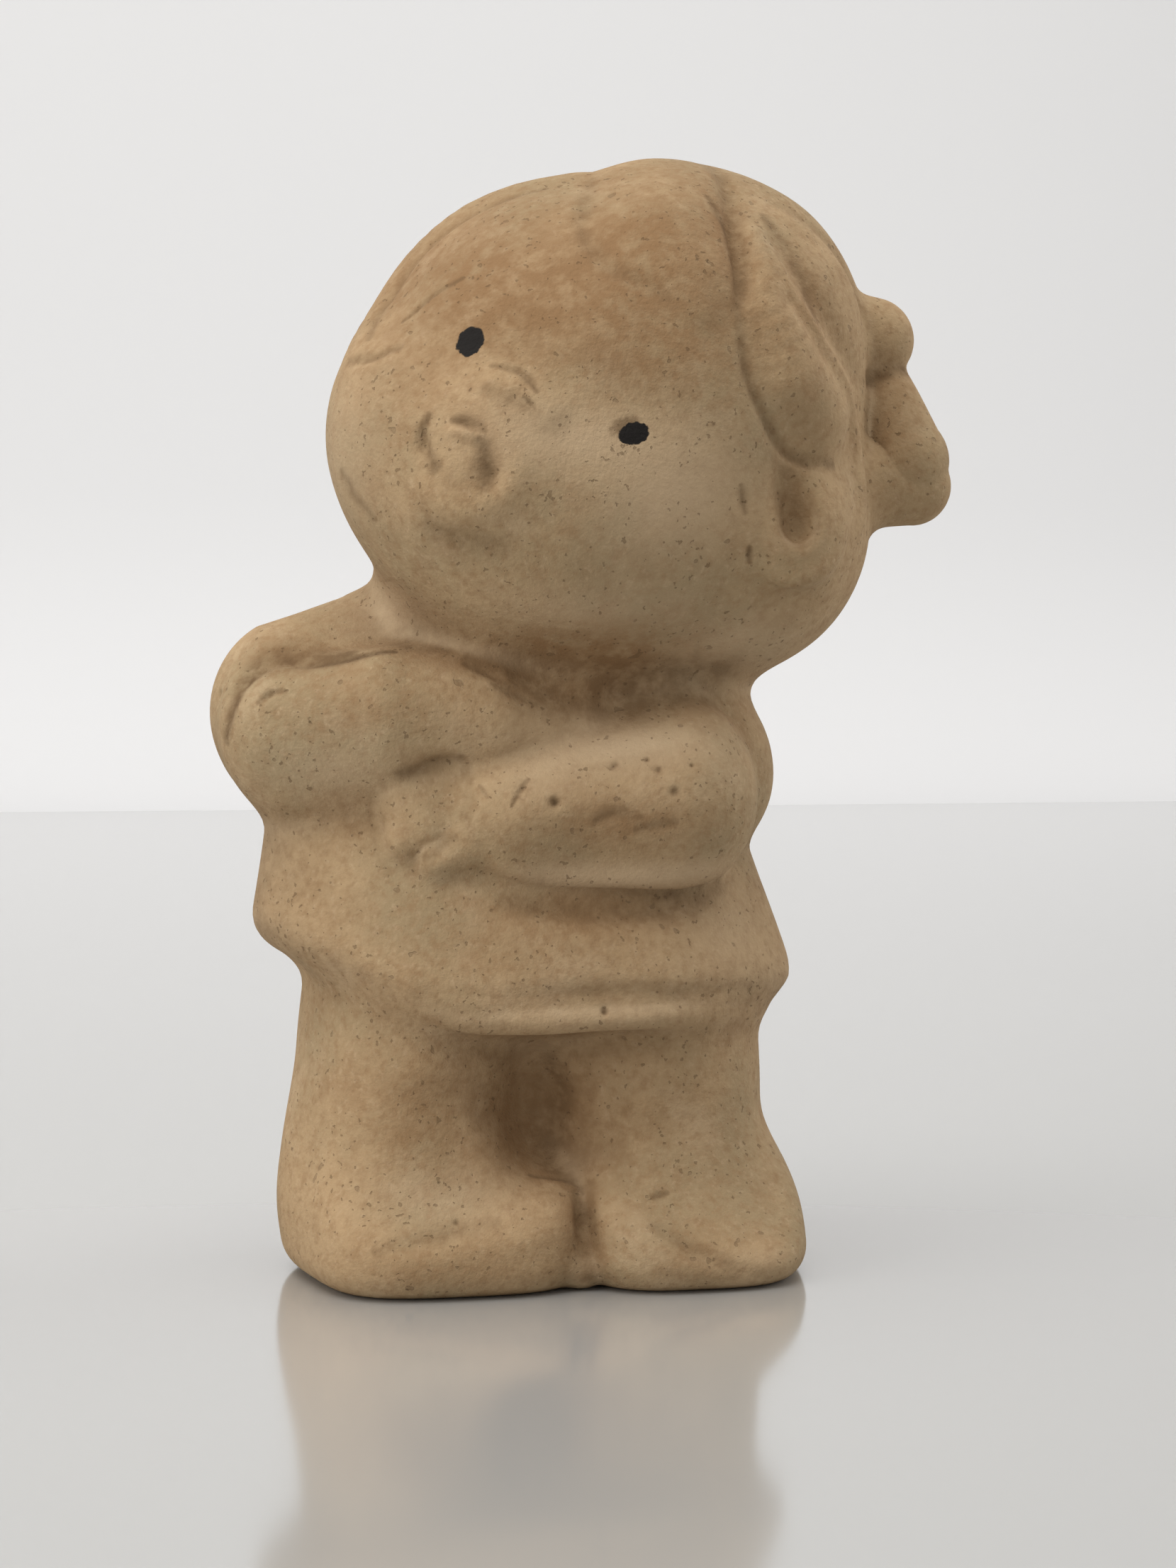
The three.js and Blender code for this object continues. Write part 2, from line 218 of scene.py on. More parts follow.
fingers = (
    limb([-12.0, -11.4, 40.2], [-14.0, -10.8, 39.2], 2.0, 1.8),
    limb([-9.6, -12.4, 38.4], [-11.4, -12.0, 37.5], 2.0, 1.8),
)
hand_join, underside_edge, top_edge = 1.5, 1.2, 2


def arms(p):
    hand = melt(left_hand(p), melt(fingers[0](p), fingers[1](p), crisp_join), hand_join)
    flat_below = press(left_forearm(p), forearm_underside(p), underside_edge)
    sleeve = press(flat_below, -forearm_top(p), top_edge)
    upper_arms = np.minimum(right_upper_arm(p), left_upper_arm(p))
    return melt(melt(sleeve, hand, hand_join), upper_arms, crisp_join)


# %% [markdown]
# ## Head
# The head is large and tipped to the figure's right. A round skull, a cap of hair, full cheeks turned
# outward and a jaw are melted into it, and the tied loop of hair is set on its left side.

# %% Head and the tied loop
neck = egg([1.6, -1.0, 57.0], [15.4, 10.6, 9], [0, 19, 0])
skull = egg([4.9, -1.0, 76.0], [22.8, 22.4, 22.3])
cheeks = egg([-3.3, -8.0, 70.3], [18.8, 14.6, 14.2], [0, 34, -18])
jaw = egg([15.0, -4.0, 66.9], [14.2, 14.0, 13.6])
hair_cap = egg([12.4, -0.5, 82.8], [17.3, 19.0, 16.9])
loop_top = egg([30.2, -3.6, 84.2], [3.6, 4.2, 3.8])
loop_tail = strand(
    [[30.4, -4.4, 80.0, 2.8], [32.6, -5.0, 73.0, 4.3], [33.6, -4.8, 70.8, 3.6], [29.6, -5.0, 71.0, 4.2]]
)
cap_join, jaw_join, cheek_join, loop_join = 3, 4, 3, 2.2


def head(p):
    return melt(melt(melt(skull(p), hair_cap(p), cap_join), jaw(p), jaw_join), cheeks(p), cheek_join)


def head_with_loop(p):
    return melt(head(p), melt(loop_top(p), loop_tail(p), crisp_join), loop_join)


# %% [markdown]
# ## Locks of hair
# A lock is a low ridge that follows the head. Written as a strand in space it would dip in and out of the
# skin, so its places are first settled on the skin by steps down the field's slope. Then a ball is sunk
# below each place, so deep that only a cap of the wanted width and height stands out.

# %% Settling points on a skin
def slope_at(field, p):
    reach = 0.05
    steps = np.eye(3) * reach
    return np.stack([(field(p + step) - field(p - step)) / (2 * reach) for step in steps], axis=1)


def settled(field, p, rounds=4):
    for _ in range(rounds):
        slope = slope_at(field, p)
        steepness = np.maximum((slope * slope).sum(axis=1), 0.25)
        p = p - (field(p) / steepness)[:, None] * slope
    return p


def outward_at(field, p):
    slope = slope_at(field, p)
    return slope / np.maximum(length(slope), 1e-6)[:, None]


# %% Locks
head_roundness = 22


def in_stages(places, stages):
    places = np.array(places, float)
    shares = np.arange(0, (len(places) - 1) * stages + 1) / stages
    return np.stack([np.interp(shares, np.arange(len(places)), column) for column in places.T], axis=1)


def lock(skin, places):
    """Places are [x, y, z, half its width, height above the skin]."""
    places = in_stages(places, 4)
    half_width, height = places[:, 3], places[:, 4]
    points = settled(skin, places[:, :3], 5)
    fall = head_roundness - np.sqrt(head_roundness**2 - half_width**2)
    from_middle = height * (2 * head_roundness + height) / (2 * (fall + height))
    radius = head_roundness + height - from_middle
    centres = points + outward_at(skin, points) * (height - radius)[:, None]
    return strand(np.column_stack([centres, radius]))


forelock = lock(
    head,
    [
        [9.3, -3.0, 98.6, 5.2, 0.4],
        [8.4, -9.6, 97.8, 5.8, 0.6],
        [7.3, -16.7, 92.4, 6.4, 1.3],
        [8.9, -19.5, 88.4, 5.0, 1.2],
        [9.3, -21.1, 85.0, 2.4, 0.7],
    ],
)
sidelock = lock(
    head,
    [
        [15.1, -16.8, 91.4, 1.6, 0.6],
        [15.9, -19.7, 84.4, 2.4, 1.0],
        [18.6, -19.0, 79.1, 3.9, 1.6],
        [21.6, -16.7, 76.0, 4.4, 1.7],
    ],
)
far_lock = lock(
    head,
    [
        [1.2, -5.8, 97.6, 2.2, 0.4],
        [-7.5, -2.3, 95.4, 2.6, 0.6],
        [-12.9, -0.8, 91.6, 2.6, 0.5],
        [-16.6, -3.1, 86.5, 2.4, 0.4],
        [-18.2, -8.6, 81.1, 1.6, 0.3],
    ],
)
print("three locks laid on the head")

# %% [markdown]
# ## Ear, nose and mouth
# The ear is a small egg with a groove pressed in front of it. The nose and the pursed mouth are low
# swellings of the same clay, so they are made as short locks are. They stand out by a hundredth at most.

# %% Face
ear = egg([19.6, -14.9, 66.9], [5.6, 4.0, 6.6], [0, 10, 40])
ear_hollow = limb([18.4, -20.0, 69.4], [18.9, -19.2, 66.4], 1.6, 1.7)
nose = lock(
    head, [[-7.8, -20.7, 78.2, 1.3, 0.35], [-6.0, -21.7, 76.9, 2.0, 0.6], [-4.1, -22.5, 75.5, 1.6, 0.55]]
)
lips = lock(head, [[-11.0, -20.1, 72.6, 4.0, 0.5], [-10.6, -20.6, 69.6, 4.6, 1.0]])
mound = lock(head, [[-11.4, -20.1, 72.0, 1.9, 0.6], [-11.0, -20.4, 70.9, 2.0, 0.75]])
ear_edge, mound_join = 1.2, 1.2


def carved_head(p):
    locks = np.minimum.reduce([forelock(p), sidelock(p), far_lock(p)])
    haired = melt(head_with_loop(p), locks, crisp_join)
    eared = press(melt(haired, ear(p), crisp_join), ear_hollow(p), ear_edge)
    nosed = melt(eared, nose(p), crisp_join)
    return melt(melt(nosed, lips(p), close_join), mound(p), mound_join)


# %% The whole figure, with a plain head or a carved one
tunic_join, forearm_join, sleeve_join, neck_join, head_join, base_edge = 2.5, 3, 1.2, 4.5, 4, 3


def figure_with(head_field, p):
    body = melt(lower_body(p), tunic(p), tunic_join)
    chest = melt(body, torso(p), soft_join)
    crossed = melt(chest, right_forearm(p), forearm_join)
    folded = melt(crossed, arms(p), sleeve_join)
    collared = melt(folded, neck(p), neck_join)
    return press(melt(collared, head_field(p), head_join), p[:, 2], base_edge)


def rough(p):
    return figure_with(head_with_loop, p)


def clay(p):
    return figure_with(carved_head, p)


# %% [markdown]
# ## A net round the clay
# Blender's metaballs and its voxel remesher could also skin such a form, but both round off creases and
# can't make the mesh finer only where it is needed. A surface net puts one corner in every grid cell that
# the skin passes through and joins neighbouring cells by four-sided facets. The grid is read in slices,
# so that only a little memory is in use at a time.

# %% Read the field on a grid
cell = 0.66
grid_low, grid_high = np.array([-34.0, -31.0, -cell]), np.array([41.0, 27.0, 104.0])


def read_grid(field):
    counts = np.ceil((grid_high - grid_low) / cell).astype(int) + 1
    across, deep, up = (grid_low[axis] + cell * np.arange(counts[axis]) for axis in range(3))
    values = np.empty(counts, np.float32)
    for i, x in enumerate(across):
        slice_points = np.stack(np.meshgrid([x], deep, up, indexing="ij"), axis=-1).reshape(-1, 3)
        values[i] = field(slice_points).reshape(counts[1:])
    return values


grid = read_grid(rough)
print("grid of", grid.shape, "points")


# %% One corner in each crossed cell
def net_corners(values):
    offsets = np.array([(a, b, c) for a in (0, 1) for b in (0, 1) for c in (0, 1)])
    nx, ny, nz = np.array(values.shape) - 1
    inside = values < 0
    hits = sum(inside[a : nx + a, b : ny + b, c : nz + c].astype(np.uint8) for a, b, c in offsets)
    cells = np.argwhere((hits > 0) & (hits < 8))
    at = [values[tuple((cells + offset).T)].astype(float) for offset in offsets]
    total, count = np.zeros((len(cells), 3)), np.zeros(len(cells))
    for p in range(8):
        for q in range(p + 1, 8):
            if abs(offsets[p] - offsets[q]).sum() == 1:
                cut = (at[p] < 0) != (at[q] < 0)
                share = at[p][cut] / (at[p][cut] - at[q][cut])
                total[cut] += offsets[p] + share[:, None] * (offsets[q] - offsets[p])
                count[cut] += 1
    numbers = np.full(values.shape, -1)
    numbers[tuple(cells.T)] = np.arange(len(cells))
    return grid_low + cell * (cells + total / count[:, None]), numbers


corners, numbers = net_corners(grid)
print("net corners:", len(corners))


# %% Facets across each crossed grid edge
def net_facets(values, numbers):
    inside = values < 0
    facets = []
    for axis in range(3):
        u, v = np.eye(3, dtype=int)[[(axis + 1) % 3, (axis + 2) % 3]]
        last = values.shape[axis] - 1
        near, far = inside.take(range(last), axis=axis), inside.take(range(1, last + 1), axis=axis)
        places = np.argwhere(near != far)
        around = [numbers[tuple(place.T)] for place in (places, places - u, places - u - v, places - v)]
        facet = np.stack(around, axis=1)
        faces_back = far[tuple(places.T)]
        facet[faces_back] = facet[faces_back, ::-1]
        facets.append(facet)
    return np.vstack(facets)


def halved(points, facets):
    """Each four-sided facet as two triangles, split along its shorter diagonal."""
    a, b, c, d = facets.T
    short = length(points[a] - points[c]) < length(points[b] - points[d])
    first = np.where(short[:, None], np.stack([a, b, c], axis=1), np.stack([b, c, d], axis=1))
    second = np.where(short[:, None], np.stack([a, c, d], axis=1), np.stack([b, d, a], axis=1))
    return np.vstack([first, second])


corners = settled(rough, corners, 3)
triangles = halved(corners, net_facets(grid, numbers))
print("triangles of the plain net:", len(triangles))

# %% [markdown]
# ## Small marks in the skin
# Creases, scratches and pinholes are finer than any of the forms above. Each is a stroke: a smooth line
# through a few places on the skin, with a width and a height, negative where it is pressed in. Their
# places were read off the photograph and are settled on the clay first.

# %% A stroke's fine points
share_of_width = 0.35


def stroke(places, dirt_and_shade=0.0):
    """Places are [x, y, z, width, height]; the second argument is how dark the line is painted, from 0 to
    1: grime in a crease, and painted shade in a hollow.
    """
    places = np.array(places, float)
    if len(places) > 1:
        ends = np.vstack([2 * places[0] - places[1], places, 2 * places[-1] - places[-2]])
        fine = []
        for before, start, end, after in zip(ends, ends[1:], ends[2:], ends[3:]):
            wanted_step = share_of_width * min(start[3], end[3])
            steps = max(2, int(np.ceil(length((end - start)[None, :3])[0] / wanted_step)))
            t = (np.arange(steps) / steps)[:, None]
            square = 2 * before - 5 * start + 4 * end - after
            cube = 3 * (start - end) + after - before
            fine.append(start + ((end - before) * t + (square * t**2 + cube * t**3)) / 2)
        places = np.vstack(fine + [places[-1:]])
    places[:, :3] = settled(clay, places[:, :3])
    return places, dirt_and_shade


# %% Strokes of the face
face_strokes = [
    stroke(  # crease at the left of the mouth
        [
            [-13.2, -18.9, 75.0, 0.4, 0], [-13.6, -18.7, 73.8, 0.5, -0.5],
            [-13.5, -18.9, 72.6, 0.65, -0.6], [-12.9, -19.4, 71.5, 0.6, -0.2],
            [-12.3, -19.7, 70.7, 0.7, 0],
        ],
        0.75,
    ),
    stroke(  # crease above the mouth
        [
            [-11.2, -20.0, 74.4, 0.4, 0], [-10.2, -20.6, 74.2, 0.55, -0.4], [-9.1, -21.2, 73.7, 0.45, 0],
        ],
        0.7,
    ),
    stroke(  # upper lip
        [[-11.9, -19.9, 73.3, 0.5, 0], [-10.7, -20.5, 73.3, 0.6, 0.35], [-9.3, -21.2, 72.7, 0.5, 0]]
    ),
    # Painted shade, with some grime, darkens this pit.
    stroke(  # pit at the right of the mouth
        [
            [-9.4, -21.2, 72.8, 0.4, 0], [-8.9, -21.5, 72.0, 0.7, -0.45], [-8.7, -21.6, 70.9, 0.9, -0.7],
            [-8.6, -21.6, 69.9, 0.9, -0.7], [-8.9, -21.5, 69.2, 0.6, 0],
        ],
        0.7,
    ),
    stroke(  # lower lip
        [
            [-14.2, -18.2, 69.9, 0.9, 0], [-13.0, -19.0, 68.6, 1.2, 0.25], [-11.4, -19.9, 67.7, 1.4, 0.4],
            [-9.6, -20.9, 67.4, 1.4, 0.45], [-7.8, -21.7, 68.2, 1.3, 0.35], [-6.6, -22.2, 69.9, 1.1, 0.2],
            [-6.3, -22.3, 71.8, 0.9, 0],
        ],
    ),
    # Painted shade, with some grime, darkens this fold under the lip.
    stroke(  # soft fold under the lip
        [
            [-12.8, -18.4, 66.0, 1.0, 0], [-11.0, -19.4, 65.0, 1.3, -0.35], [-9.4, -20.2, 64.5, 1.4, -0.4],
            [-7.4, -20.9, 64.2, 1.1, 0],
        ],
        0.4,
    ),
    stroke(  # shallow valley along the line of the eyes
        [
            [-17.0, -12.0, 82.2, 2.0, 0], [-12.6, -16.4, 81.6, 2.6, -0.25],
            [-7.6, -20.2, 80.6, 2.8, -0.45], [-2.0, -22.6, 78.2, 3.0, -0.4],
            [3.4, -23.4, 75.6, 3.0, -0.35], [9.0, -22.8, 73.6, 2.6, 0],
        ],
    ),
    stroke(  # crease above the nose
        [
            [-8.6, -19.8, 79.6, 0.25, 0], [-7.2, -20.4, 79.3, 0.35, -0.16],
            [-5.9, -21.1, 78.8, 0.4, -0.26], [-5.1, -21.6, 77.8, 0.4, -0.22], [-4.8, -21.9, 76.9, 0.3, 0],
        ],
        0.8,
    ),
    stroke(  # crease below the nose
        [
            [-8.6, -20.4, 77.2, 0.7, 0], [-7.4, -21.2, 76.5, 0.8, -0.22], [-6.1, -21.8, 75.8, 0.8, -0.25],
            [-4.9, -22.3, 74.8, 0.7, 0],
        ],
        0.3,
    ),
    stroke(  # crack across the nose's lower edge
        [[-5.9, -21.8, 76.6, 0.2, 0], [-5.3, -22.1, 76.0, 0.25, -0.18], [-4.9, -22.2, 75.4, 0.2, 0]], 0.6
    ),
    stroke(  # wrinkle where the cheek meets the far lock
        [
            [-18.9, -8.2, 80.6, 0.5, 0], [-18.1, -9.8, 80.5, 0.6, -0.2], [-17.1, -11.8, 80.6, 0.6, -0.32],
            [-16.1, -12.9, 81.1, 0.55, -0.2], [-15.0, -13.9, 81.5, 0.45, 0],
        ],
        0.45,
    ),
    stroke(  # ridge below that wrinkle
        [[-18.6, -9.6, 79.5, 0.7, 0], [-17.0, -12.3, 79.5, 0.9, 0.25], [-14.6, -14.8, 80.1, 0.7, 0]]
    ),
    stroke(  # scratch above the far eye
        [
            [-14.6, -11.7, 83.8, 0.3, 0], [-13.8, -12.0, 84.5, 0.32, -0.16],
            [-12.2, -12.5, 85.8, 0.34, -0.15], [-10.6, -13.5, 86.8, 0.3, -0.06],
            [-9.2, -14.3, 87.5, 0.3, 0],
        ],
        0.6,
    ),
    stroke(  # dent in the far cheek
        [
            [-19.3, -10.5, 71.0, 0.5, 0], [-19.2, -11.0, 69.8, 0.7, -0.22],
            [-18.6, -11.5, 68.6, 0.7, -0.2], [-17.0, -13.2, 66.8, 0.6, 0],
        ],
        0.4,
    ),
]

# %% Strokes of the hair and the ear
hair_strokes = [
    stroke(  # valley between the forelock and the sidelock
        [
            [13.4, -4.0, 98.7, 0.7, 0], [14.1, -8.9, 97.6, 0.9, -0.35], [13.8, -15.4, 93.4, 1.0, -0.7],
            [13.4, -18.1, 90.0, 0.9, -0.8], [13.3, -20.0, 86.7, 0.8, -0.7], [12.8, -20.8, 84.4, 0.6, 0],
        ],
        0.45,
    ),
    stroke(  # edge of the sidelock against the cheek
        [
            [13.0, -21.2, 84.0, 0.5, 0], [13.2, -21.6, 80.2, 0.6, -0.35], [13.9, -21.5, 77.5, 0.65, -0.5],
            [16.3, -20.3, 73.7, 0.65, -0.6], [19.1, -18.6, 71.9, 0.6, -0.55], [22.9, -16.2, 71.8, 0.5, 0],
        ],
        0.5,
    ),
    stroke(  # ridge that runs down to the ear
        [
            [16.2, -17.2, 89.4, 0.6, 0], [18.4, -18.2, 85.7, 0.8, 0.45], [21.6, -17.0, 81.9, 0.9, 0.6],
            [24.6, -13.8, 78.0, 1.0, 0.65], [26.2, -12.0, 73.4, 1.1, 0.5], [26.4, -11.8, 69.3, 1.1, 0.4],
            [25.6, -12.6, 65.6, 1.0, 0],
        ],
    ),
    stroke(  # valley behind that ridge
        [
            [17.0, -15.4, 91.4, 1.0, 0], [19.6, -16.8, 87.6, 1.4, -0.4], [22.4, -15.8, 84.0, 1.5, -0.5],
            [25.2, -13.0, 80.8, 1.3, -0.5], [27.4, -10.2, 79.4, 0.8, 0],
        ],
        0.12,
    ),
    stroke(  # pit where the loop is tied
        [
            [27.0, -8.0, 80.6, 0.6, 0], [28.4, -6.6, 80.2, 0.9, -0.9], [30.2, -6.6, 80.6, 0.8, -0.5],
            [32.2, -5.6, 81.0, 0.6, 0],
        ],
        0.7,
    ),
    stroke(  # strand of hair drawn back to the tie
        [
            [17.6, -11.6, 95.0, 0.6, 0], [22.0, -9.2, 91.0, 0.9, -0.3], [26.0, -7.4, 86.0, 0.9, -0.4],
            [28.2, -6.2, 82.6, 0.6, 0],
        ],
        0.2,
    ),
    stroke(
        [[11.6, -14.6, 95.0, 0.5, 0], [12.4, -16.2, 93.4, 0.6, -0.1], [13.2, -17.0, 91.6, 0.5, 0]], 0.7
    ),
    stroke(
        [
            [16.6, -13.4, 93.6, 0.7, 0], [18.6, -15.8, 90.0, 0.9, -0.12], [20.0, -16.9, 86.4, 0.9, -0.12],
            [20.8, -17.2, 84.0, 0.7, 0],
        ],
        0.5,
    ),
    stroke(  # left edge of the forelock
        [
            [2.9, -8.6, 97.1, 0.6, 0], [0.9, -14.6, 93.2, 0.8, -0.25], [0.5, -17.2, 90.7, 0.8, -0.3],
            [1.8, -19.5, 88.1, 0.8, -0.3], [4.0, -20.8, 86.6, 0.8, -0.25], [6.6, -21.4, 85.2, 0.6, 0],
        ],
        0.3,
    ),
    stroke(  # inner edge of the far lock
        [
            [-1.0, -8.6, 96.3, 0.5, 0], [-7.4, -6.2, 93.9, 0.7, -0.25], [-12.2, -4.8, 90.3, 0.7, -0.3],
            [-15.8, -6.6, 85.6, 0.6, -0.25], [-17.2, -9.4, 82.4, 0.5, 0],
        ],
        0.35,
    ),
    stroke(  # rim of the ear
        [
            [14.2, -18.9, 64.4, 0.6, 0], [15.4, -18.1, 63.0, 0.8, 0.4], [17.7, -17.4, 62.2, 0.95, 0.6],
            [20.6, -16.8, 62.9, 1.0, 0.5], [22.7, -15.9, 64.4, 0.9, 0],
        ],
    ),
    stroke(  # soft hollow in front of the ear
        [
            [16.6, -20.2, 72.4, 1.2, 0], [17.6, -19.4, 70.2, 1.6, -0.35], [18.5, -18.4, 68.0, 1.4, -0.5],
            [18.9, -17.8, 66.2, 1.2, -0.5], [19.1, -17.6, 64.8, 1.0, 0],
        ],
        0.25,
    ),
    stroke(  # fold below the ear
        [[16.0, -18.0, 61.6, 1.0, 0], [19.4, -15.8, 60.6, 1.3, -0.35], [22.8, -13.4, 61.8, 1.0, 0]]
    ),
    stroke(  # chip in front of the ear
        [[13.1, -20.7, 69.6, 0.3, 0], [13.5, -20.4, 68.4, 0.45, -0.3], [13.9, -20.1, 67.2, 0.3, 0]], 0.5
    ),
    stroke(
        [[14.4, -18.9, 64.4, 0.25, 0], [14.5, -18.7, 63.8, 0.3, -0.25], [14.5, -18.4, 63.2, 0.25, 0]], 0.7
    ),
]

# %% Strokes of the arms and the tunic
arm_strokes = [
    stroke(  # dirty line between the upper arm and the forearm
        [
            [-29.2, -5.4, 47.8, 0.7, 0], [-28.9, -5.8, 50.2, 0.9, -0.4], [-28.0, -5.6, 52.4, 1.1, -0.6],
            [-26.2, -5.6, 54.2, 1.2, -0.7], [-24.2, -6.2, 54.9, 1.2, -0.6], [-22.0, -7.8, 54.9, 1.1, -0.5],
            [-19.4, -9.2, 55.2, 0.9, -0.3], [-17.0, -9.8, 55.7, 0.7, -0.12], [-14.8, -10.6, 55.9, 0.5, 0],
        ],
        0.95,
    ),
    stroke(
        [
            [-26.5, -8.3, 51.0, 0.3, 0], [-26.0, -8.7, 51.7, 0.4, -0.35], [-25.2, -9.0, 52.1, 0.3, -0.2],
            [-24.4, -9.4, 52.1, 0.25, 0],
        ],
        0.6,
    ),
    stroke(  # pit above the left hand, at the cuff
        [
            [-9.9, -13.2, 46.6, 0.5, 0], [-11.0, -13.3, 46.0, 0.8, -0.6], [-12.4, -14.0, 45.3, 0.8, -0.45],
            [-15.2, -14.2, 44.3, 0.7, 0],
        ],
        0.6,
    ),
    stroke(  # cuff edge
        [
            [-9.8, -14.6, 45.6, 0.6, 0], [-9.9, -15.4, 43.4, 0.8, -0.25], [-10.0, -15.4, 41.2, 0.8, -0.25],
            [-8.6, -15.0, 38.9, 0.6, 0],
        ],
        0.2,
    ),
    stroke(
        [
            [-14.0, -14.6, 37.6, 0.5, 0], [-12.4, -15.2, 38.5, 0.6, -0.25], [-11.2, -15.4, 39.6, 0.5, 0],
        ],
        0.4,
    ),
    stroke(
        [[-4.3, -15.8, 44.6, 0.2, 0], [-4.9, -16.0, 43.6, 0.28, -0.22], [-5.9, -16.2, 42.0, 0.2, 0]], 0.8
    ),
    stroke(
        [[-8.8, -15.3, 44.6, 0.2, 0], [-8.2, -15.6, 43.7, 0.22, -0.12], [-7.8, -15.8, 43.0, 0.2, 0]], 0.4
    ),
    stroke([[-2.2, -16.5, 42.4, 0.42, -0.6]], 1.0),
    stroke([[8.2, -17.2, 43.4, 0.42, -0.4]], 0.8),
    stroke([[6.9, -17.0, 45.3, 0.3, -0.25]], 0.6),
    stroke([[2.2, -16.6, 24.5, 0.34, -0.4]], 0.9),
    stroke([[-29.3, -1.7, 51.8, 0.4, -0.2]], 0.5),
    stroke([[5.9, -16.8, 46.6, 0.25, -0.2]], 0.7),
    stroke([[3.2, -16.4, 46.0, 0.3, -0.15], [2.6, -16.6, 45.4, 0.2, 0]], 0.6),
    stroke([[9.7, -16.2, 45.2, 0.2, -0.2]], 0.7),
    stroke(
        [[1.4, -17.2, 41.0, 0.5, -0.15], [3.0, -17.4, 41.6, 0.6, -0.2], [5.2, -17.3, 41.3, 0.5, 0]], 0.45
    ),
    stroke(
        [[4.6, -17.2, 40.2, 0.35, 0], [6.6, -17.0, 40.6, 0.5, -0.2], [8.4, -16.4, 41.2, 0.35, 0]], 0.45
    ),
    stroke(  # dirt spread beside the seam of the right arm
        [
            [-28.0, -5.4, 52.0, 1.2, 0], [-25.4, -5.8, 55.0, 1.8, -0.1], [-22.0, -7.2, 55.8, 1.9, -0.1],
            [-18.6, -8.8, 56.2, 1.2, 0],
        ],
        0.75,
    ),
    # Painted shade, over some grime, darkens this hollow between the chin and the sleeve.
    stroke(  # hollow between the chin and the sleeve
        [
            [-5.0, -13.5, 53.2, 1.6, 0], [-0.8, -13.2, 51.6, 2.0, -0.7], [5.0, -11.7, 51.6, 2.2, -0.9],
            [10.5, -10.3, 52.9, 2.0, -0.7], [14.6, -9.6, 54.6, 1.6, 0],
        ],
        0.45,
    ),
    # Painted shade under the chin, over some grime.
    stroke(  # dark fold under the chin
        [
            [-9.4, -13.0, 55.4, 1.0, 0], [-5.5, -14.2, 54.0, 1.8, -0.2], [-0.6, -14.0, 53.2, 2.4, -0.2],
            [6.4, -11.6, 52.9, 2.4, -0.2], [11.6, -10.4, 53.8, 1.4, 0],
        ],
        0.4,
    ),
    stroke(  # rim along the forearm's lower edge
        [
            [-7.4, -15.4, 36.2, 0.8, 0], [-3.0, -15.6, 35.3, 1.2, 0.6], [3.0, -15.4, 35.1, 1.3, 0.9],
            [9.6, -13.6, 35.5, 1.2, 0.7], [14.6, -11.0, 37.4, 0.8, 0],
        ],
    ),
    # Painted shadow under the forearm's rim, over some grime.
    stroke(  # hollow under that rim
        [
            [-6.4, -13.8, 33.8, 0.9, 0], [-2.0, -14.2, 33.0, 1.2, -0.5], [4.0, -14.2, 32.8, 1.3, -0.6],
            [10.0, -12.6, 33.2, 1.2, -0.5], [14.8, -10.0, 34.8, 0.9, 0],
        ],
        0.35,
    ),
    stroke(  # faint finger ends of the right hand
        [[-9.4, -12.9, 54.6, 0.4, 0], [-7.4, -14.0, 54.0, 0.6, -0.4], [-5.4, -14.8, 52.9, 0.4, 0]], 0.5
    ),
    stroke(
        [[-7.2, -14.6, 52.9, 0.4, 0], [-5.2, -15.0, 52.3, 0.6, -0.4], [-3.0, -15.2, 51.1, 0.4, 0]], 0.5
    ),
    stroke(  # groove above the rolled hem
        [
            [-14.0, -15.4, 26.8, 0.7, 0], [-6.0, -17.2, 26.0, 0.9, -0.2], [0.4, -17.5, 26.1, 0.9, -0.4],
            [7.0, -16.3, 25.8, 0.9, -0.45], [13.6, -13.6, 25.6, 0.8, -0.3], [18.0, -10.6, 25.6, 0.7, 0],
        ],
        0.15,
    ),
]

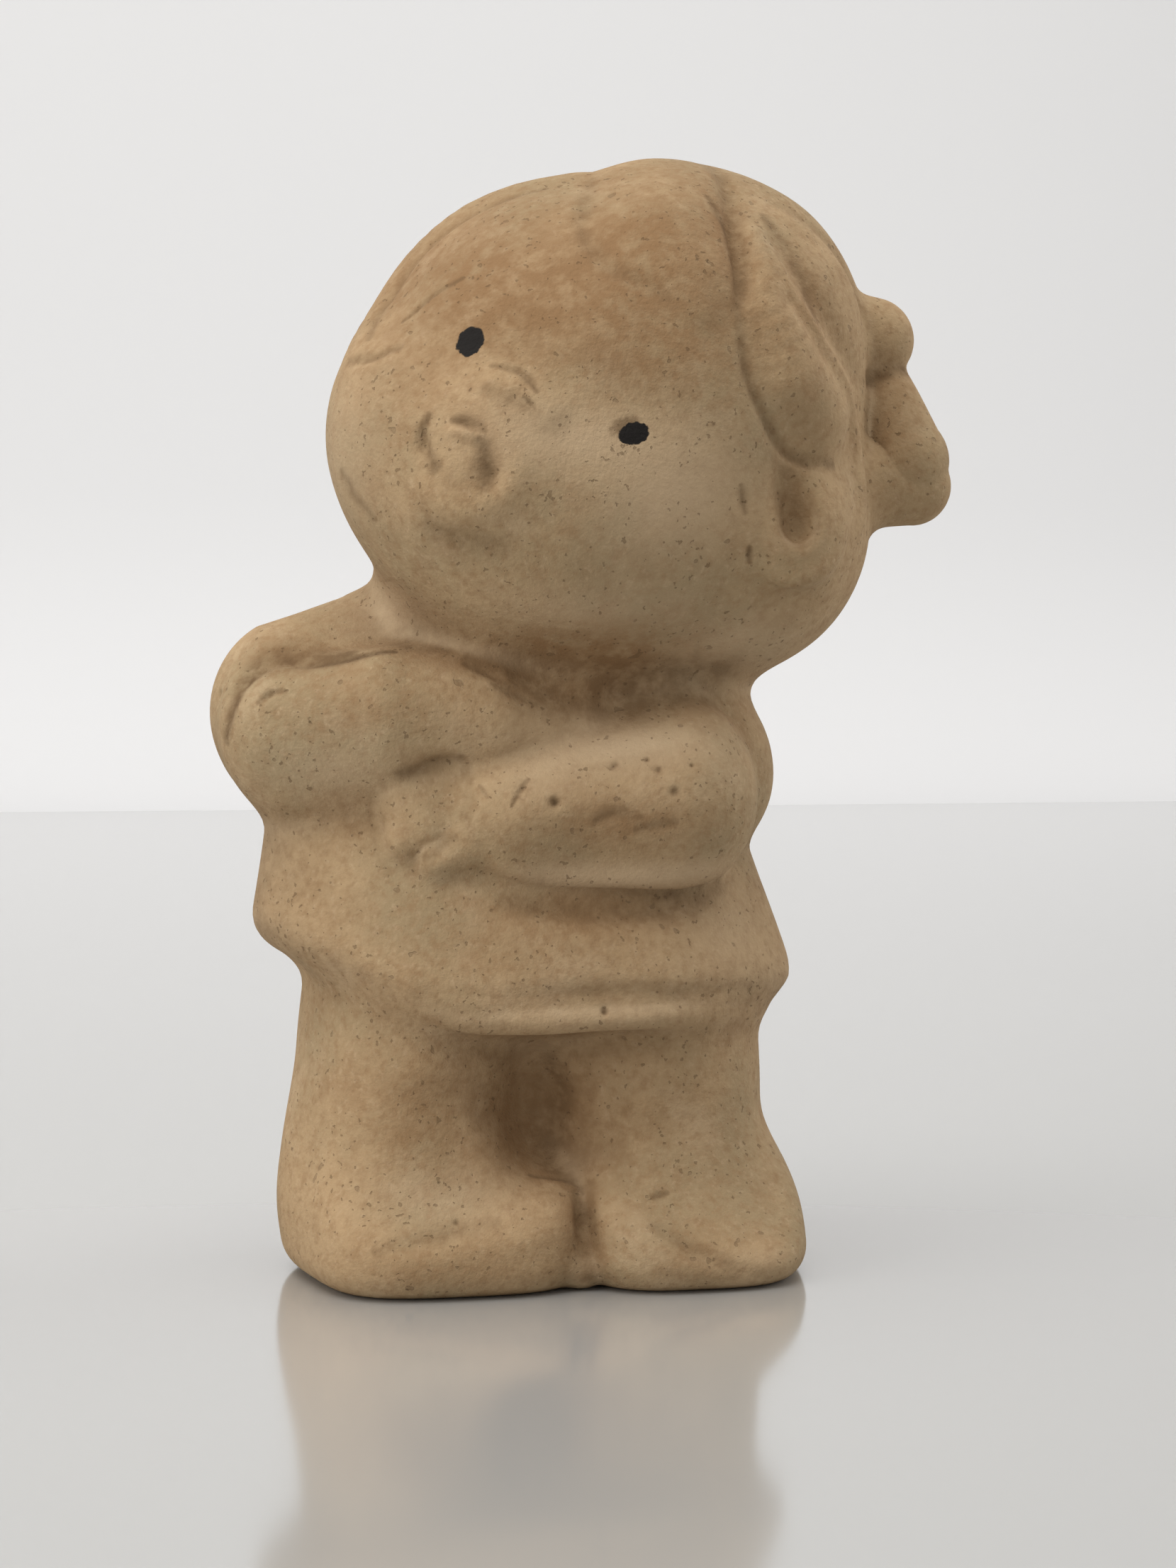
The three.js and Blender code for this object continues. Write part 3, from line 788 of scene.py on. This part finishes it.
# %% Strokes of the trousers and feet
leg_strokes = [
    stroke(
        [
            [-15.4, -14.2, 16.4, 1.6, 0], [-11.3, -14.9, 16.7, 2.2, -0.5], [-7.4, -14.5, 16.0, 2.4, -0.6],
            [-4.6, -13.4, 15.4, 1.8, 0],
        ],
    ),
    stroke(
        [
            [0.6, -11.4, 14.0, 1.8, 0], [4.4, -12.8, 13.8, 2.2, -0.4], [8.4, -14.0, 13.9, 2.0, -0.3],
            [11.6, -14.6, 14.2, 1.6, 0],
        ],
    ),
    stroke(
        [
            [-17.6, -15.8, 4.2, 0.6, 0], [-14.7, -16.8, 5.0, 0.9, -0.35], [-11.0, -17.0, 5.8, 1.0, -0.3],
            [-7.2, -16.2, 6.3, 0.7, 0],
        ],
        0.25,
    ),
    stroke(
        [
            [6.2, -16.4, 5.3, 0.6, 0], [9.7, -18.6, 3.9, 1.0, -0.35], [13.0, -19.2, 2.5, 0.9, -0.25],
            [15.6, -18.6, 1.6, 0.6, 0],
        ],
        0.35,
    ),
    stroke(
        [
            [-3.4, -12.6, 10.8, 0.3, 0], [-1.8, -12.0, 9.7, 0.4, -0.18], [0.3, -11.6, 8.3, 0.4, -0.22],
            [1.8, -12.2, 7.4, 0.3, 0],
        ],
        0.6,
    ),
    stroke([[6.8, -15.6, 8.4, 0.3, 0], [7.6, -16.0, 8.9, 0.4, -0.2], [8.3, -16.2, 9.2, 0.25, 0]], 0.6),
    stroke([[-10.8, -17.0, 7.4, 0.28, -0.15]], 0.9),
    # Painted shade, over some grime, darkens the cleft's core.
    stroke(  # dark core of the cleft
        [
            [-1.9, -10.0, 18.6, 1.0, 0], [-1.8, -9.5, 16.2, 1.4, -0.3], [-1.8, -9.5, 13.6, 1.5, -0.4],
            [-1.4, -10.5, 11.0, 1.2, -0.2], [-0.2, -12.0, 9.0, 0.7, 0],
        ],
        0.45,
    ),
    # Painted shade, over some grime, darkens the cleft between the feet.
    stroke(  # cleft between the feet
        [
            [0.2, -13.0, 8.2, 0.4, 0], [0.7, -14.4, 6.4, 0.8, -0.4], [0.8, -15.4, 3.8, 1.0, -0.3],
            [0.8, -15.8, 1.4, 0.8, 0],
        ],
        0.6,
    ),
]

# %% [markdown]
# The back of the figure can't be seen in the photograph. There, a few shallow grooves show how the hair
# was combed to the loop, and the rest is left plain.

# %% Combed grooves at the back of the head
back_strokes = [
    stroke(
        [
            [8.6, 2.0, 99.0, 0.8, 0], [14.0, 12.6, 94.6, 1.0, -0.3], [22.0, 15.4, 86.4, 1.0, -0.35],
            [27.6, 9.0, 79.6, 0.8, 0],
        ],
    ),
    stroke(
        [
            [5.4, 5.0, 98.2, 0.8, 0], [7.6, 17.4, 90.4, 1.0, -0.35], [15.4, 19.6, 81.4, 1.0, -0.35],
            [24.0, 12.6, 74.4, 0.8, 0],
        ],
    ),
    stroke(
        [
            [1.0, 6.0, 97.6, 0.8, 0], [-2.4, 17.6, 88.0, 1.0, -0.35], [1.4, 21.2, 77.0, 1.0, -0.35],
            [10.0, 18.6, 66.8, 0.8, 0],
        ],
    ),
    stroke(
        [
            [-4.0, 3.0, 96.4, 0.8, 0], [-11.6, 12.0, 86.8, 1.0, -0.3], [-13.6, 14.6, 76.0, 1.0, -0.3],
            [-7.4, 16.8, 66.0, 0.8, 0],
        ],
    ),
]
strokes = face_strokes + hair_strokes + arm_strokes + leg_strokes + back_strokes
print("strokes:", len(strokes))

# %% [markdown]
# ## A finer net where the carving is
# The plain net is even everywhere. Its edges are split again where the clay bends too sharply for them,
# and round each stroke down to a share of its width. Both triangles at an edge share the new corner, so
# the mesh stays closed. Every corner then moves straight in or out, along the plain form's own direction,
# until it meets the carved clay. That way the net can't fold over itself in a crease.

# %% Meet the carved clay
deepest_carving = 2.5


def carved(p):
    outward = outward_at(rough, p)
    inside, outside = np.full(len(p), -deepest_carving), np.full(len(p), deepest_carving)
    for _ in range(12):
        middle = (inside + outside) / 2
        within = clay(p + outward * middle[:, None]) < 0
        inside, outside = np.where(within, middle, inside), np.where(within, outside, middle)
    return p + outward * ((inside + outside) / 2)[:, None]


# %% Split edges that are too long
def split(points, triangles, too_coarse):
    ends = np.sort(triangles[:, [0, 1, 1, 2, 2, 0]].reshape(-1, 2), axis=1)
    edge_names = ends[:, 0] * len(points) + ends[:, 1]
    _, first, back = np.unique(edge_names, return_index=True, return_inverse=True)
    start, end = points[ends[first, 0]], points[ends[first, 1]]
    middle = (start + end) / 2
    wanted = too_coarse(middle, length(start - end))
    corner = np.full(len(first), -1)
    corner[wanted] = len(points) + np.arange(wanted.sum())
    middles = corner[back].reshape(-1, 3)
    count = (middles >= 0).sum(axis=1)
    turn = np.where(count == 2, np.argmin(middles >= 0, axis=1) + 1, np.argmax(middles >= 0, axis=1))
    order = (turn[:, None] + np.arange(3)) % 3
    a, b, c = np.take_along_axis(triangles, order, axis=1).T
    ab, bc, ca = np.take_along_axis(middles, order, axis=1).T
    pieces = {
        0: [(a, b, c)],
        1: [(a, ab, c), (ab, b, c)],
        2: [(a, ab, c), (ab, bc, c), (ab, b, bc)],
        3: [(a, ab, ca), (ab, b, bc), (ca, bc, c), (ab, bc, ca)],
    }
    made = [np.stack(piece, axis=1)[count == n] for n, sets in pieces.items() for piece in sets]
    return np.vstack([points, carved(middle[wanted])]), np.vstack(made)


# %% How close a point is to the strokes
least_pressed = 0.01


def nearest_mark(p):
    """For each point: the stroke's height there, how dark it is painted with grime and shade, and the
    longest edge that still shows it.
    """
    height, dirt_and_shade_share, edge = np.zeros(len(p)), np.zeros(len(p)), np.full(len(p), np.inf)
    for places, dirt_and_shade in strokes:
        reach = 2.2 * places[:, 3].max()
        low, high = places[:, :3].min(axis=0) - reach, places[:, :3].max(axis=0) + reach
        close = np.flatnonzero(((p > low) & (p < high)).all(axis=1))
        if not len(close):
            continue
        apart = np.sqrt(((p[close, None] - places[None, :, :3]) ** 2).sum(axis=2)) / places[:, 3]
        shape = np.exp(-apart * apart)
        pushed = shape * places[:, 4]
        height[close] += np.take_along_axis(pushed, np.abs(pushed).argmax(axis=1)[:, None], axis=1)[:, 0]
        pressed = np.abs(pushed).max(axis=1) > least_pressed
        dirt_and_shade_share[close] = np.maximum(dirt_and_shade_share[close], dirt_and_shade * shape.max(axis=1) * pressed)
        nearest = apart.argmin(axis=1)
        fine = np.where(apart.min(axis=1) < 2, 0.5 * places[nearest, 3], np.inf)
        edge[close] = np.minimum(edge[close], fine)
    return height, dirt_and_shade_share, edge


# %% Carve the net and make it finer
gap_allowed, shortest_edge = 0.012, 0.24


def too_coarse(middle, edge_length):
    bent = (np.abs(clay(middle)) > gap_allowed) & (edge_length > 2 * shortest_edge)
    return bent | (edge_length > 1.3 * np.maximum(nearest_mark(middle)[2], 0.5 * shortest_edge))


corners = carved(corners)
for finer in range(3):
    corners, triangles = split(corners, triangles, too_coarse)
    print("after splitting", finer + 1, "times:", len(triangles), "triangles")

# %% [markdown]
# ## Hand-made unevenness
# A pressed figure is never quite even. A few dozen slow waves of random direction, from a fixed seed, push
# the skin in and out by a tenth of a millimetre. The strokes are pushed in after that.

# %% Press in the strokes and add slow waves
random = np.random.default_rng(7)
waves = random.normal(size=(40, 3))
waves /= length(waves)[:, None] * random.uniform(1.0, 3.2, size=(40, 1))
phases = random.uniform(0, 2 * np.pi, size=40)
wave_height = 0.02

outward = outward_at(clay, corners)
mark_height, mark_dirt_and_shade, _ = nearest_mark(corners)
uneven = wave_height * np.sin(corners @ waves.T + phases).sum(axis=1) * smooth_step(corners[:, 2], 0.5, 4)
skin = corners + outward * (mark_height + uneven)[:, None]
skin[skin[:, 2] < 0.03, 2] = 0
print("deepest mark:", round(-mark_height.min() * percent * 1000, 2), "mm")

# %% [markdown]
# ## Where dirt and shade gather, and where hands wear and light catches
# Dirt stays in hollows and hands rub the ridges clean. The finish also paints shade into the hollows and
# highlights onto the ridges, over that dirt and wear. Blender's pointiness node knows only the nearest
# corners, so both are measured in the field instead, with probes held off the skin on the outside and
# the inside. Stains and rubbed patches follow no form, so each of those is a soft cloud round a place that
# was read off the photograph. Some stain clouds are painted shade under the forearms, below the chin and in
# the clefts, and most clean clouds are painted highlights where the light falls. The lowest edge is darker
# all round. The results are kept on the mesh as attributes that the finish reads.

# %% Probe the hollows and the ridges
def hollow(reach):
    return np.clip(1 - clay(corners + outward * reach) / reach, 0, 1)


def ridge(reach):
    return np.clip(1 + clay(corners - outward * reach) / reach, 0, 1)


crevice_dirt_and_shade = np.clip(0.55 * hollow(0.9) + 0.6 * hollow(2.4), 0, 1)
hollow_dirt_and_shade = hollow(7.0)
ridge_wear_and_highlight = np.clip(0.5 * ridge(1.2) + 0.5 * ridge(3.0), 0, 1)
print("mean crevice, hollow, wear:", [round(float(a.mean()), 3) for a in (crevice_dirt_and_shade, hollow_dirt_and_shade, ridge_wear_and_highlight)])

# %% Stains with painted shade, and clean patches with painted highlights, each a soft cloud round a place
stain_and_shade_spots = [  # centre, radii, strength
    ([0.0, -19.0, 86.0], [17.0, 12.0, 8.0], 0.45),
    ([1.0, -20.5, 85.0], [12.0, 9.0, 4.6], 0.5),
    ([6.0, -22.0, 79.5], [7.0, 6.0, 3.6], 0.5),
    ([-9.0, -15.0, 86.5], [8.0, 9.0, 6.0], 0.6),
    ([-14.0, -5.3, 88.0], [5.0, 6.0, 5.0], 0.6),
    ([5.0, -18.5, 90.5], [4.4, 6.0, 3.6], 0.9),
    ([-6.0, -9.0, 93.0], [9.0, 8.0, 4.0], 0.4),
    ([9.0, -12.0, 97.0], [9.0, 8.0, 4.0], 0.45),
    ([-13.0, -14.0, 77.0], [6.0, 7.0, 5.0], 0.4),
    ([31.0, -8.0, 76.0], [2.4, 4.0, 2.6], 0.5),
    ([29.6, -7.0, 80.4], [2.4, 3.0, 1.6], 0.7),
    # Painted shade, over some grime, in the hollow in front of the ear.
    ([18.6, -19.0, 67.0], [1.8, 3.0, 3.0], 0.6),
    ([12.6, -16.5, 91.0], [2.2, 6.0, 5.0], 0.8),
    ([20.4, -16.5, 86.0], [2.6, 4.0, 3.4], 0.6),
    ([19.0, -18.0, 76.5], [2.8, 4.0, 3.4], 0.5),
    # The next three clouds are painted shade below the chin, over some grime.
    ([-5.0, -12.5, 54.5], [8.0, 5.0, 3.0], 0.9),
    ([2.0, -12.5, 52.5], [6.0, 5.0, 3.0], 0.9),
    ([2.0, -13.5, 56.5], [8.0, 6.0, 2.6], 0.7),
    # The next three clouds are painted shade in the leg cleft and between the feet, over some grime.
    ([-2.6, -11.0, 14.8], [4.0, 5.0, 6.0], 0.9),
    ([-2.0, -13.0, 13.5], [12.0, 7.0, 7.0], 0.5),
    ([0.6, -14.5, 4.0], [2.2, 5.0, 5.0], 0.9),
    ([-11.0, -17.0, 3.0], [8.0, 4.0, 2.4], 0.5),
    ([-14.0, -14.0, 16.5], [5.0, 5.0, 5.0], 0.5),
    # The next two clouds are painted shadow under the forearms.
    ([-4.0, -16.0, 31.0], [9.0, 5.0, 5.0], 0.4),
    ([-19.0, -11.5, 41.5], [3.2, 4.0, 2.2], 0.5),
    ([-24.0, -6.5, 55.6], [6.0, 5.0, 1.8], 0.9),
    ([-18.5, -12.5, 51.5], [7.0, 5.0, 2.6], 0.45),
    ([4.0, -17.0, 40.8], [7.0, 4.0, 2.0], 0.8),
    # Painted shadow on the belly under the left forearm.
    ([3.0, -14.0, 33.0], [9.0, 4.0, 2.2], 0.65),
    ([10.6, -19.0, 3.4], [4.0, 4.0, 2.4], 0.6),
]
# Painted highlights where light falls, with some clean clay: face, neck, forearm tops and rims, foot top.
clean_and_lit_spots = [
    ([-2.4, -23.0, 73.5], [8.0, 5.0, 3.2], 0.7),
    ([7.0, -22.3, 68.8], [7.0, 5.0, 5.0], 0.8),
    ([14.0, -11.0, 56.4], [7.0, 6.0, 3.4], 0.7),
    ([0.0, -19.0, 58.6], [8.0, 4.0, 2.4], 0.5),
    ([-20.0, -11.0, 45.0], [6.0, 5.0, 2.6], 0.5),
    ([-19.8, -10.7, 72.5], [4.0, 7.0, 7.0], 0.5),
    ([-14.0, -4.5, 59.0], [4.0, 5.0, 3.0], 1.0),
    ([4.3, -15.1, 47.6], [8.0, 4.0, 2.4], 0.9),
    # The next three clouds are a painted highlight along the forearm's lower rim.
    ([-2.0, -16.0, 36.2], [4.0, 3.0, 1.2], 0.8),
    ([4.0, -16.0, 36.0], [4.5, 3.0, 1.2], 0.9),
    ([10.0, -14.0, 36.6], [4.0, 3.0, 1.2], 0.8),
    ([-3.3, -15.5, 45.1], [4.0, 4.0, 3.0], 0.4),
    ([15.0, -11.0, 31.0], [5.0, 6.0, 5.0], 0.35),
    ([-11.0, -14.0, 8.5], [6.0, 5.0, 2.6], 0.35),
]


def clouds(spots):
    total = np.zeros(len(corners))
    for centre, radii, strength in spots:
        total += strength * np.exp(-(((corners - centre) / radii) ** 2).sum(axis=1))
    return np.clip(total, 0, 1)


# The tone darkens towards the bottom edge.
edge_strength, edge_low, edge_high = 0.5, 0.2, 1.8
darker_towards_bottom = edge_strength * (1 - smooth_step(corners[:, 2], edge_low, edge_high))
stain_and_shade, clean_and_lit = np.maximum(clouds(stain_and_shade_spots), darker_towards_bottom), clouds(clean_and_lit_spots)

# %% [markdown]
# ## Into Blender
# The corners become metres here, and the mesh gets its attributes. The piece stands in for the packed
# solid of the same form and rides on the only body.

# %% Make the mesh
mesh = bpy.data.meshes.new("clay_figure")
mesh.from_pydata((skin * percent).tolist(), [], triangles.tolist())
mesh.shade_smooth()
for name, values in {
    "crevice_dirt_and_shade": crevice_dirt_and_shade,
    "hollow_dirt_and_shade": hollow_dirt_and_shade,
    "ridge_wear_and_highlight": ridge_wear_and_highlight,
    "stain_and_shade": stain_and_shade,
    "clean_and_lit": clean_and_lit,
    "mark": mark_dirt_and_shade,
}.items():
    mesh.attributes.new(name, "FLOAT", "POINT").data.foreach_set("value", values.astype(np.float32))

figure = bpy.data.objects.new("clay_figure", mesh)
bpy.context.scene.collection.objects.link(figure)
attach(figure, "root")
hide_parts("figure")
print("clay figure:", len(mesh.vertices), "corners,", len(mesh.polygons), "triangles")

# %% [markdown]
# ## The clay finish
# Fired clay is dull and porous. Its tan is never even: it is peach where it is clean, greyer in places and
# brown where it is stained or dirty, with tiny dark grains all over. The finish also paints shade into the
# hollows and highlights onto surfaces that face the light. The nodes below mix those tones one over
# another, so each of them can be changed alone.

# %% A few helpers for node work
bisque = bpy.data.materials.new("bisque_clay")
bisque.use_nodes = True
nodes, links = bisque.node_tree.nodes, bisque.node_tree.links
shader = nodes["Principled BSDF"]
place = nodes.new("ShaderNodeTexCoord").outputs["Object"]


def noise(size, detail=3.0, roughness=0.55):
    """Soft noise whose blotches are about size metres wide, from 0 to 1."""
    node = nodes.new("ShaderNodeTexNoise")
    node.inputs["Scale"].default_value = 1 / size
    node.inputs["Detail"].default_value = detail
    node.inputs["Roughness"].default_value = roughness
    links.new(place, node.inputs["Vector"])
    return node.outputs["Fac"]


def ranged(value, low, high, to_low=0.0, to_high=1.0):
    node = nodes.new("ShaderNodeMapRange")
    node.interpolation_type = "SMOOTHSTEP"
    for name, number in {"From Min": low, "From Max": high, "To Min": to_low, "To Max": to_high}.items():
        node.inputs[name].default_value = number
    links.new(value, node.inputs["Value"])
    return node.outputs["Result"]


def combined(operation, a, b):
    node = nodes.new("ShaderNodeMath")
    node.operation = operation
    for socket, value in zip(node.inputs, (a, b)):
        if isinstance(value, (int, float)):
            socket.default_value = value
        else:
            links.new(value, socket)
    return node.outputs["Value"]


def measured(name):
    node = nodes.new("ShaderNodeAttribute")
    node.attribute_name = name
    return node.outputs["Fac"]


def over(below, colour, share):
    """One tone laid over another by a share from 0 to 1."""
    node = nodes.new("ShaderNodeMix")
    node.data_type = "RGBA"
    for socket, value in ((node.inputs[6], below), (node.inputs["Factor"], share)):
        links.new(value, socket)
    node.inputs[7].default_value = (*colour, 1)
    return node.outputs[2]


# %% Tones of the clay
peach = (0.445, 0.312, 0.175)
grey_tan = (0.335, 0.255, 0.146)
# The brown and the dark tone lay stains and dirt and also painted shade; the rubbed tone lays wear and
# painted highlights.
brown_stain_and_shade = (0.25, 0.145, 0.068)
dark_dirt_and_shade = (0.12, 0.07, 0.032)
rubbed_and_lit = (0.60, 0.45, 0.29)

first = nodes.new("ShaderNodeRGB")
first.outputs[0].default_value = (*peach, 1)
tone = over(first.outputs[0], grey_tan, ranged(noise(0.016, 4), 0.40, 0.66))
blotches = [  # tone, width in metres, detail, the noise where it starts and where it is full, strength
    (rubbed_and_lit, 0.006, 4, 0.50, 0.75, 0.35),
    (brown_stain_and_shade, 0.0035, 5, 0.46, 0.76, 0.40),
    (brown_stain_and_shade, 0.0008, 4, 0.42, 0.75, 0.50),
    (rubbed_and_lit, 0.0005, 3, 0.50, 0.80, 0.35),
]
for colour, size, detail, start, full, strength in blotches:
    tone = over(tone, colour, combined("MULTIPLY", ranged(noise(size, detail), start, full), strength))

# %% Stains and dirt with painted shade, wear with painted highlights
broken = ranged(noise(0.0016, 5), 0.3, 0.62, 0.45, 1.0)
# Painted highlights, with some clean clay, lighten the tone.
tone = over(tone, rubbed_and_lit, combined("MULTIPLY", measured("clean_and_lit"), 0.85))
# Stains, with painted shade in some of the clouds, darken the tone in brown.
tone = over(tone, brown_stain_and_shade, combined("MULTIPLY", measured("stain_and_shade"), broken))
# Painted shade, with some grime, darkens the large hollows in brown.
tone = over(tone, brown_stain_and_shade, combined("MULTIPLY", ranged(measured("hollow_dirt_and_shade"), 0.35, 1.0), 0.6))
# Creases darken: grime and painted shade.
tone = over(tone, dark_dirt_and_shade, combined("MULTIPLY", ranged(measured("crevice_dirt_and_shade"), 0.25, 1.1), broken))
# Ridges lighten: rubbed wear and a painted highlight.
tone = over(tone, rubbed_and_lit, combined("MULTIPLY", ranged(measured("ridge_wear_and_highlight"), 0.25, 0.8), 0.45))
# Stroke lines darken: grime in creases, and painted shade in the hollows under the chin and forearm and in
# the clefts.
tone = over(tone, dark_dirt_and_shade, combined("MULTIPLY", measured("mark"), broken))


# %% Dark flecks
def flecks(size, rarity, clusters):
    """Ragged dark grains, thick in some places and rare in others."""
    thick = ranged(noise(clusters, 2), 0.35, 0.65, rarity + 0.05, rarity - 0.02)
    return ranged(combined("SUBTRACT", noise(size, 2, 0.4), thick), 0.0, 0.03)


fine_flecks = flecks(0.00045, 0.68, 0.004)
large_flecks = flecks(0.0010, 0.715, 0.009)
tone = over(tone, dark_dirt_and_shade, combined("MULTIPLY", fine_flecks, 0.5))
tone = over(tone, dark_dirt_and_shade, combined("MULTIPLY", large_flecks, 0.4))

# %% [markdown]
# ## Painted eyes
# The eyes are two touches of dark paint with no thickness of their own, so they are drawn in the finish
# and not in the mesh. Each is an oval in the figure's own space, measured the way the photograph shows
# it, and some fine noise frays its edge as a brush does.

# %% Oval patches
facing_turn = math.radians(-12)


def oval(centre, half_width, half_height, tilt, fray=0.12):
    """Distance from an oval's centre, 1 on its edge. The tilt lifts its right end, in degrees."""
    shift = nodes.new("ShaderNodeMapping")
    shift.vector_type = "TEXTURE"
    shift.inputs["Location"].default_value = [value * percent for value in centre]
    shift.inputs["Rotation"].default_value = (0, math.radians(-tilt), facing_turn)
    shift.inputs["Scale"].default_value = (half_width * percent, 5 * percent, half_height * percent)
    links.new(place, shift.inputs["Vector"])
    away = nodes.new("ShaderNodeVectorMath")
    away.operation = "LENGTH"
    links.new(shift.outputs["Vector"], away.inputs[0])
    frayed = combined("MULTIPLY", combined("SUBTRACT", noise(0.00045, 4), 0.5), 2 * fray)
    return combined("ADD", away.outputs["Value"], frayed)


far_eye = ranged(oval([-9.8, -18.3, 81.6], 1.42, 1.12, 58, 0.25), 1.05, 0.93)
near_eye = ranged(oval([3.2, -23.4, 73.6], 1.36, 0.94, 18, 0.25), 1.05, 0.93)
# A soft dark patch beside the near eye.
dark_patch_by_eye = ranged(oval([2.5, -23.2, 74.2], 1.5, 0.95, 20, 0.4), 1.15, 0.45, 0.0, 0.7)
paint = combined("MAXIMUM", far_eye, near_eye)
tone = over(tone, dark_dirt_and_shade, dark_patch_by_eye)
tone = over(tone, (0.010, 0.008, 0.007), paint)
links.new(tone, shader.inputs["Base Color"])

# %% Dull, porous surface
shader.inputs["Specular IOR Level"].default_value = 0.25
links.new(ranged(paint, 0, 1, 0.9, 0.85), shader.inputs["Roughness"])
grain_height = combined("ADD", noise(0.00035, 4, 0.6), combined("MULTIPLY", noise(0.0014, 4), 1.6))
fleck_pits = combined("MULTIPLY", combined("ADD", fine_flecks, large_flecks), 0.8)
pitted = combined("SUBTRACT", grain_height, fleck_pits)
bump = nodes.new("ShaderNodeBump")
bump_strength, grain_depth = 0.8, 0.00008
bump.inputs["Strength"].default_value = bump_strength
bump.inputs["Distance"].default_value = grain_depth
links.new(pitted, bump.inputs["Height"])
links.new(bump.outputs["Normal"], shader.inputs["Normal"])
mesh.materials.append(bisque)
print("clay finish:", len(nodes), "nodes")

# %% [markdown]
# ## Table and wall
# The photograph was taken on a pale polished table in front of a white wall. One sheet that sweeps up at
# the back gives both, with a soft line between them. A clear coat over the table gives its reflection,
# which is a little blurred.

# %% Sweep
table_front, table_back, sweep_radius, wall_top, half_span = -0.8, 0.82, 0.12, 1.4, 1.6
bend = [math.radians(angle) for angle in range(0, 91, 10)]
profile = [(table_front, 0.0)]
profile += [(table_back + sweep_radius * math.sin(a), sweep_radius * (1 - math.cos(a))) for a in bend]
profile += [(table_back + sweep_radius, wall_top)]
sheet = [(x, y, z) for y, z in profile for x in (-half_span, half_span)]
strips = [(2 * n, 2 * n + 1, 2 * n + 3, 2 * n + 2) for n in range(len(profile) - 1)]
sweep_mesh = bpy.data.meshes.new("table_and_wall")
sweep_mesh.from_pydata(sheet, [], strips)
sweep_mesh.shade_smooth()
sweep = bpy.data.objects.new("table_and_wall", sweep_mesh)
bpy.context.scene.collection.objects.link(sweep)

stone_ior, coat_blur = 1.6, 0.13


def plain_finish(name, colour, roughness, polish):
    finish = bpy.data.materials.new(name)
    finish.use_nodes = True
    pale = finish.node_tree.nodes["Principled BSDF"]
    pale.inputs["Base Color"].default_value = (*colour, 1)
    pale.inputs["Roughness"].default_value = roughness
    pale.inputs["IOR"].default_value = stone_ior
    pale.inputs["Coat Weight"].default_value = polish
    pale.inputs["Coat IOR"].default_value = stone_ior
    pale.inputs["Coat Roughness"].default_value = coat_blur
    sweep_mesh.materials.append(finish)


plain_finish("polished_table", (0.38, 0.38, 0.37), 0.12, 0.8)
plain_finish("white_wall", (0.83, 0.83, 0.84), 0.9, 0.0)
for strip in sweep_mesh.polygons[1:]:
    strip.material_index = 1

# %% [markdown]
# ## Soft light
# The photograph's light is soft and comes mostly from above and from the figure's right. A pale world
# fills the shadows, one wide lamp hangs above, and a smaller one stands on each side.

# %% World and lamps
world = bpy.data.worlds.new("pale_room")
bpy.context.scene.world = world
world.use_nodes = True
world.node_tree.nodes["Background"].inputs["Color"].default_value = (1.0, 0.99, 0.97, 1)
world.node_tree.nodes["Background"].inputs["Strength"].default_value = 0.60


def soft_lamp(name, location, size, power):
    lamp = bpy.data.lights.new(name, "AREA")
    lamp.size = size
    lamp.energy = power
    lamp.color = (1.0, 0.985, 0.96)
    stand = bpy.data.objects.new(name, lamp)
    stand.location = location
    stand.rotation_euler = (Vector((0, 0, 0.045)) - Vector(location)).to_track_quat("-Z", "Y").to_euler()
    bpy.context.scene.collection.objects.link(stand)


soft_lamp("lamp_above", (-0.2, -0.16, 0.95), 0.8, 7.0)
soft_lamp("lamp_left", (-0.75, -0.25, 0.3), 0.6, 3.2)
soft_lamp("lamp_right", (0.8, 0.1, 0.35), 0.6, 2.6)

# %% [markdown]
# ## Camera
# The camera stands where the photograph was taken: a hand's length above the table, a little to the
# figure's right, and tilted slightly down.

# %% Camera
camera_data = bpy.data.cameras.new("camera")
camera_data.sensor_width = 36
camera_data.lens = 18 / math.tan(math.radians(15))
camera_data.clip_start = 0.01
camera = bpy.data.objects.new("camera", camera_data)
camera.location = (-0.0463, -0.2358, 0.0480)
camera.rotation_euler = (math.radians(90 - 2.1), 0, math.radians(-12))
bpy.context.scene.collection.objects.link(camera)
bpy.context.scene.camera = camera
bpy.context.scene.view_settings.view_transform = "Standard"
print("lens:", round(camera_data.lens, 2), "mm")
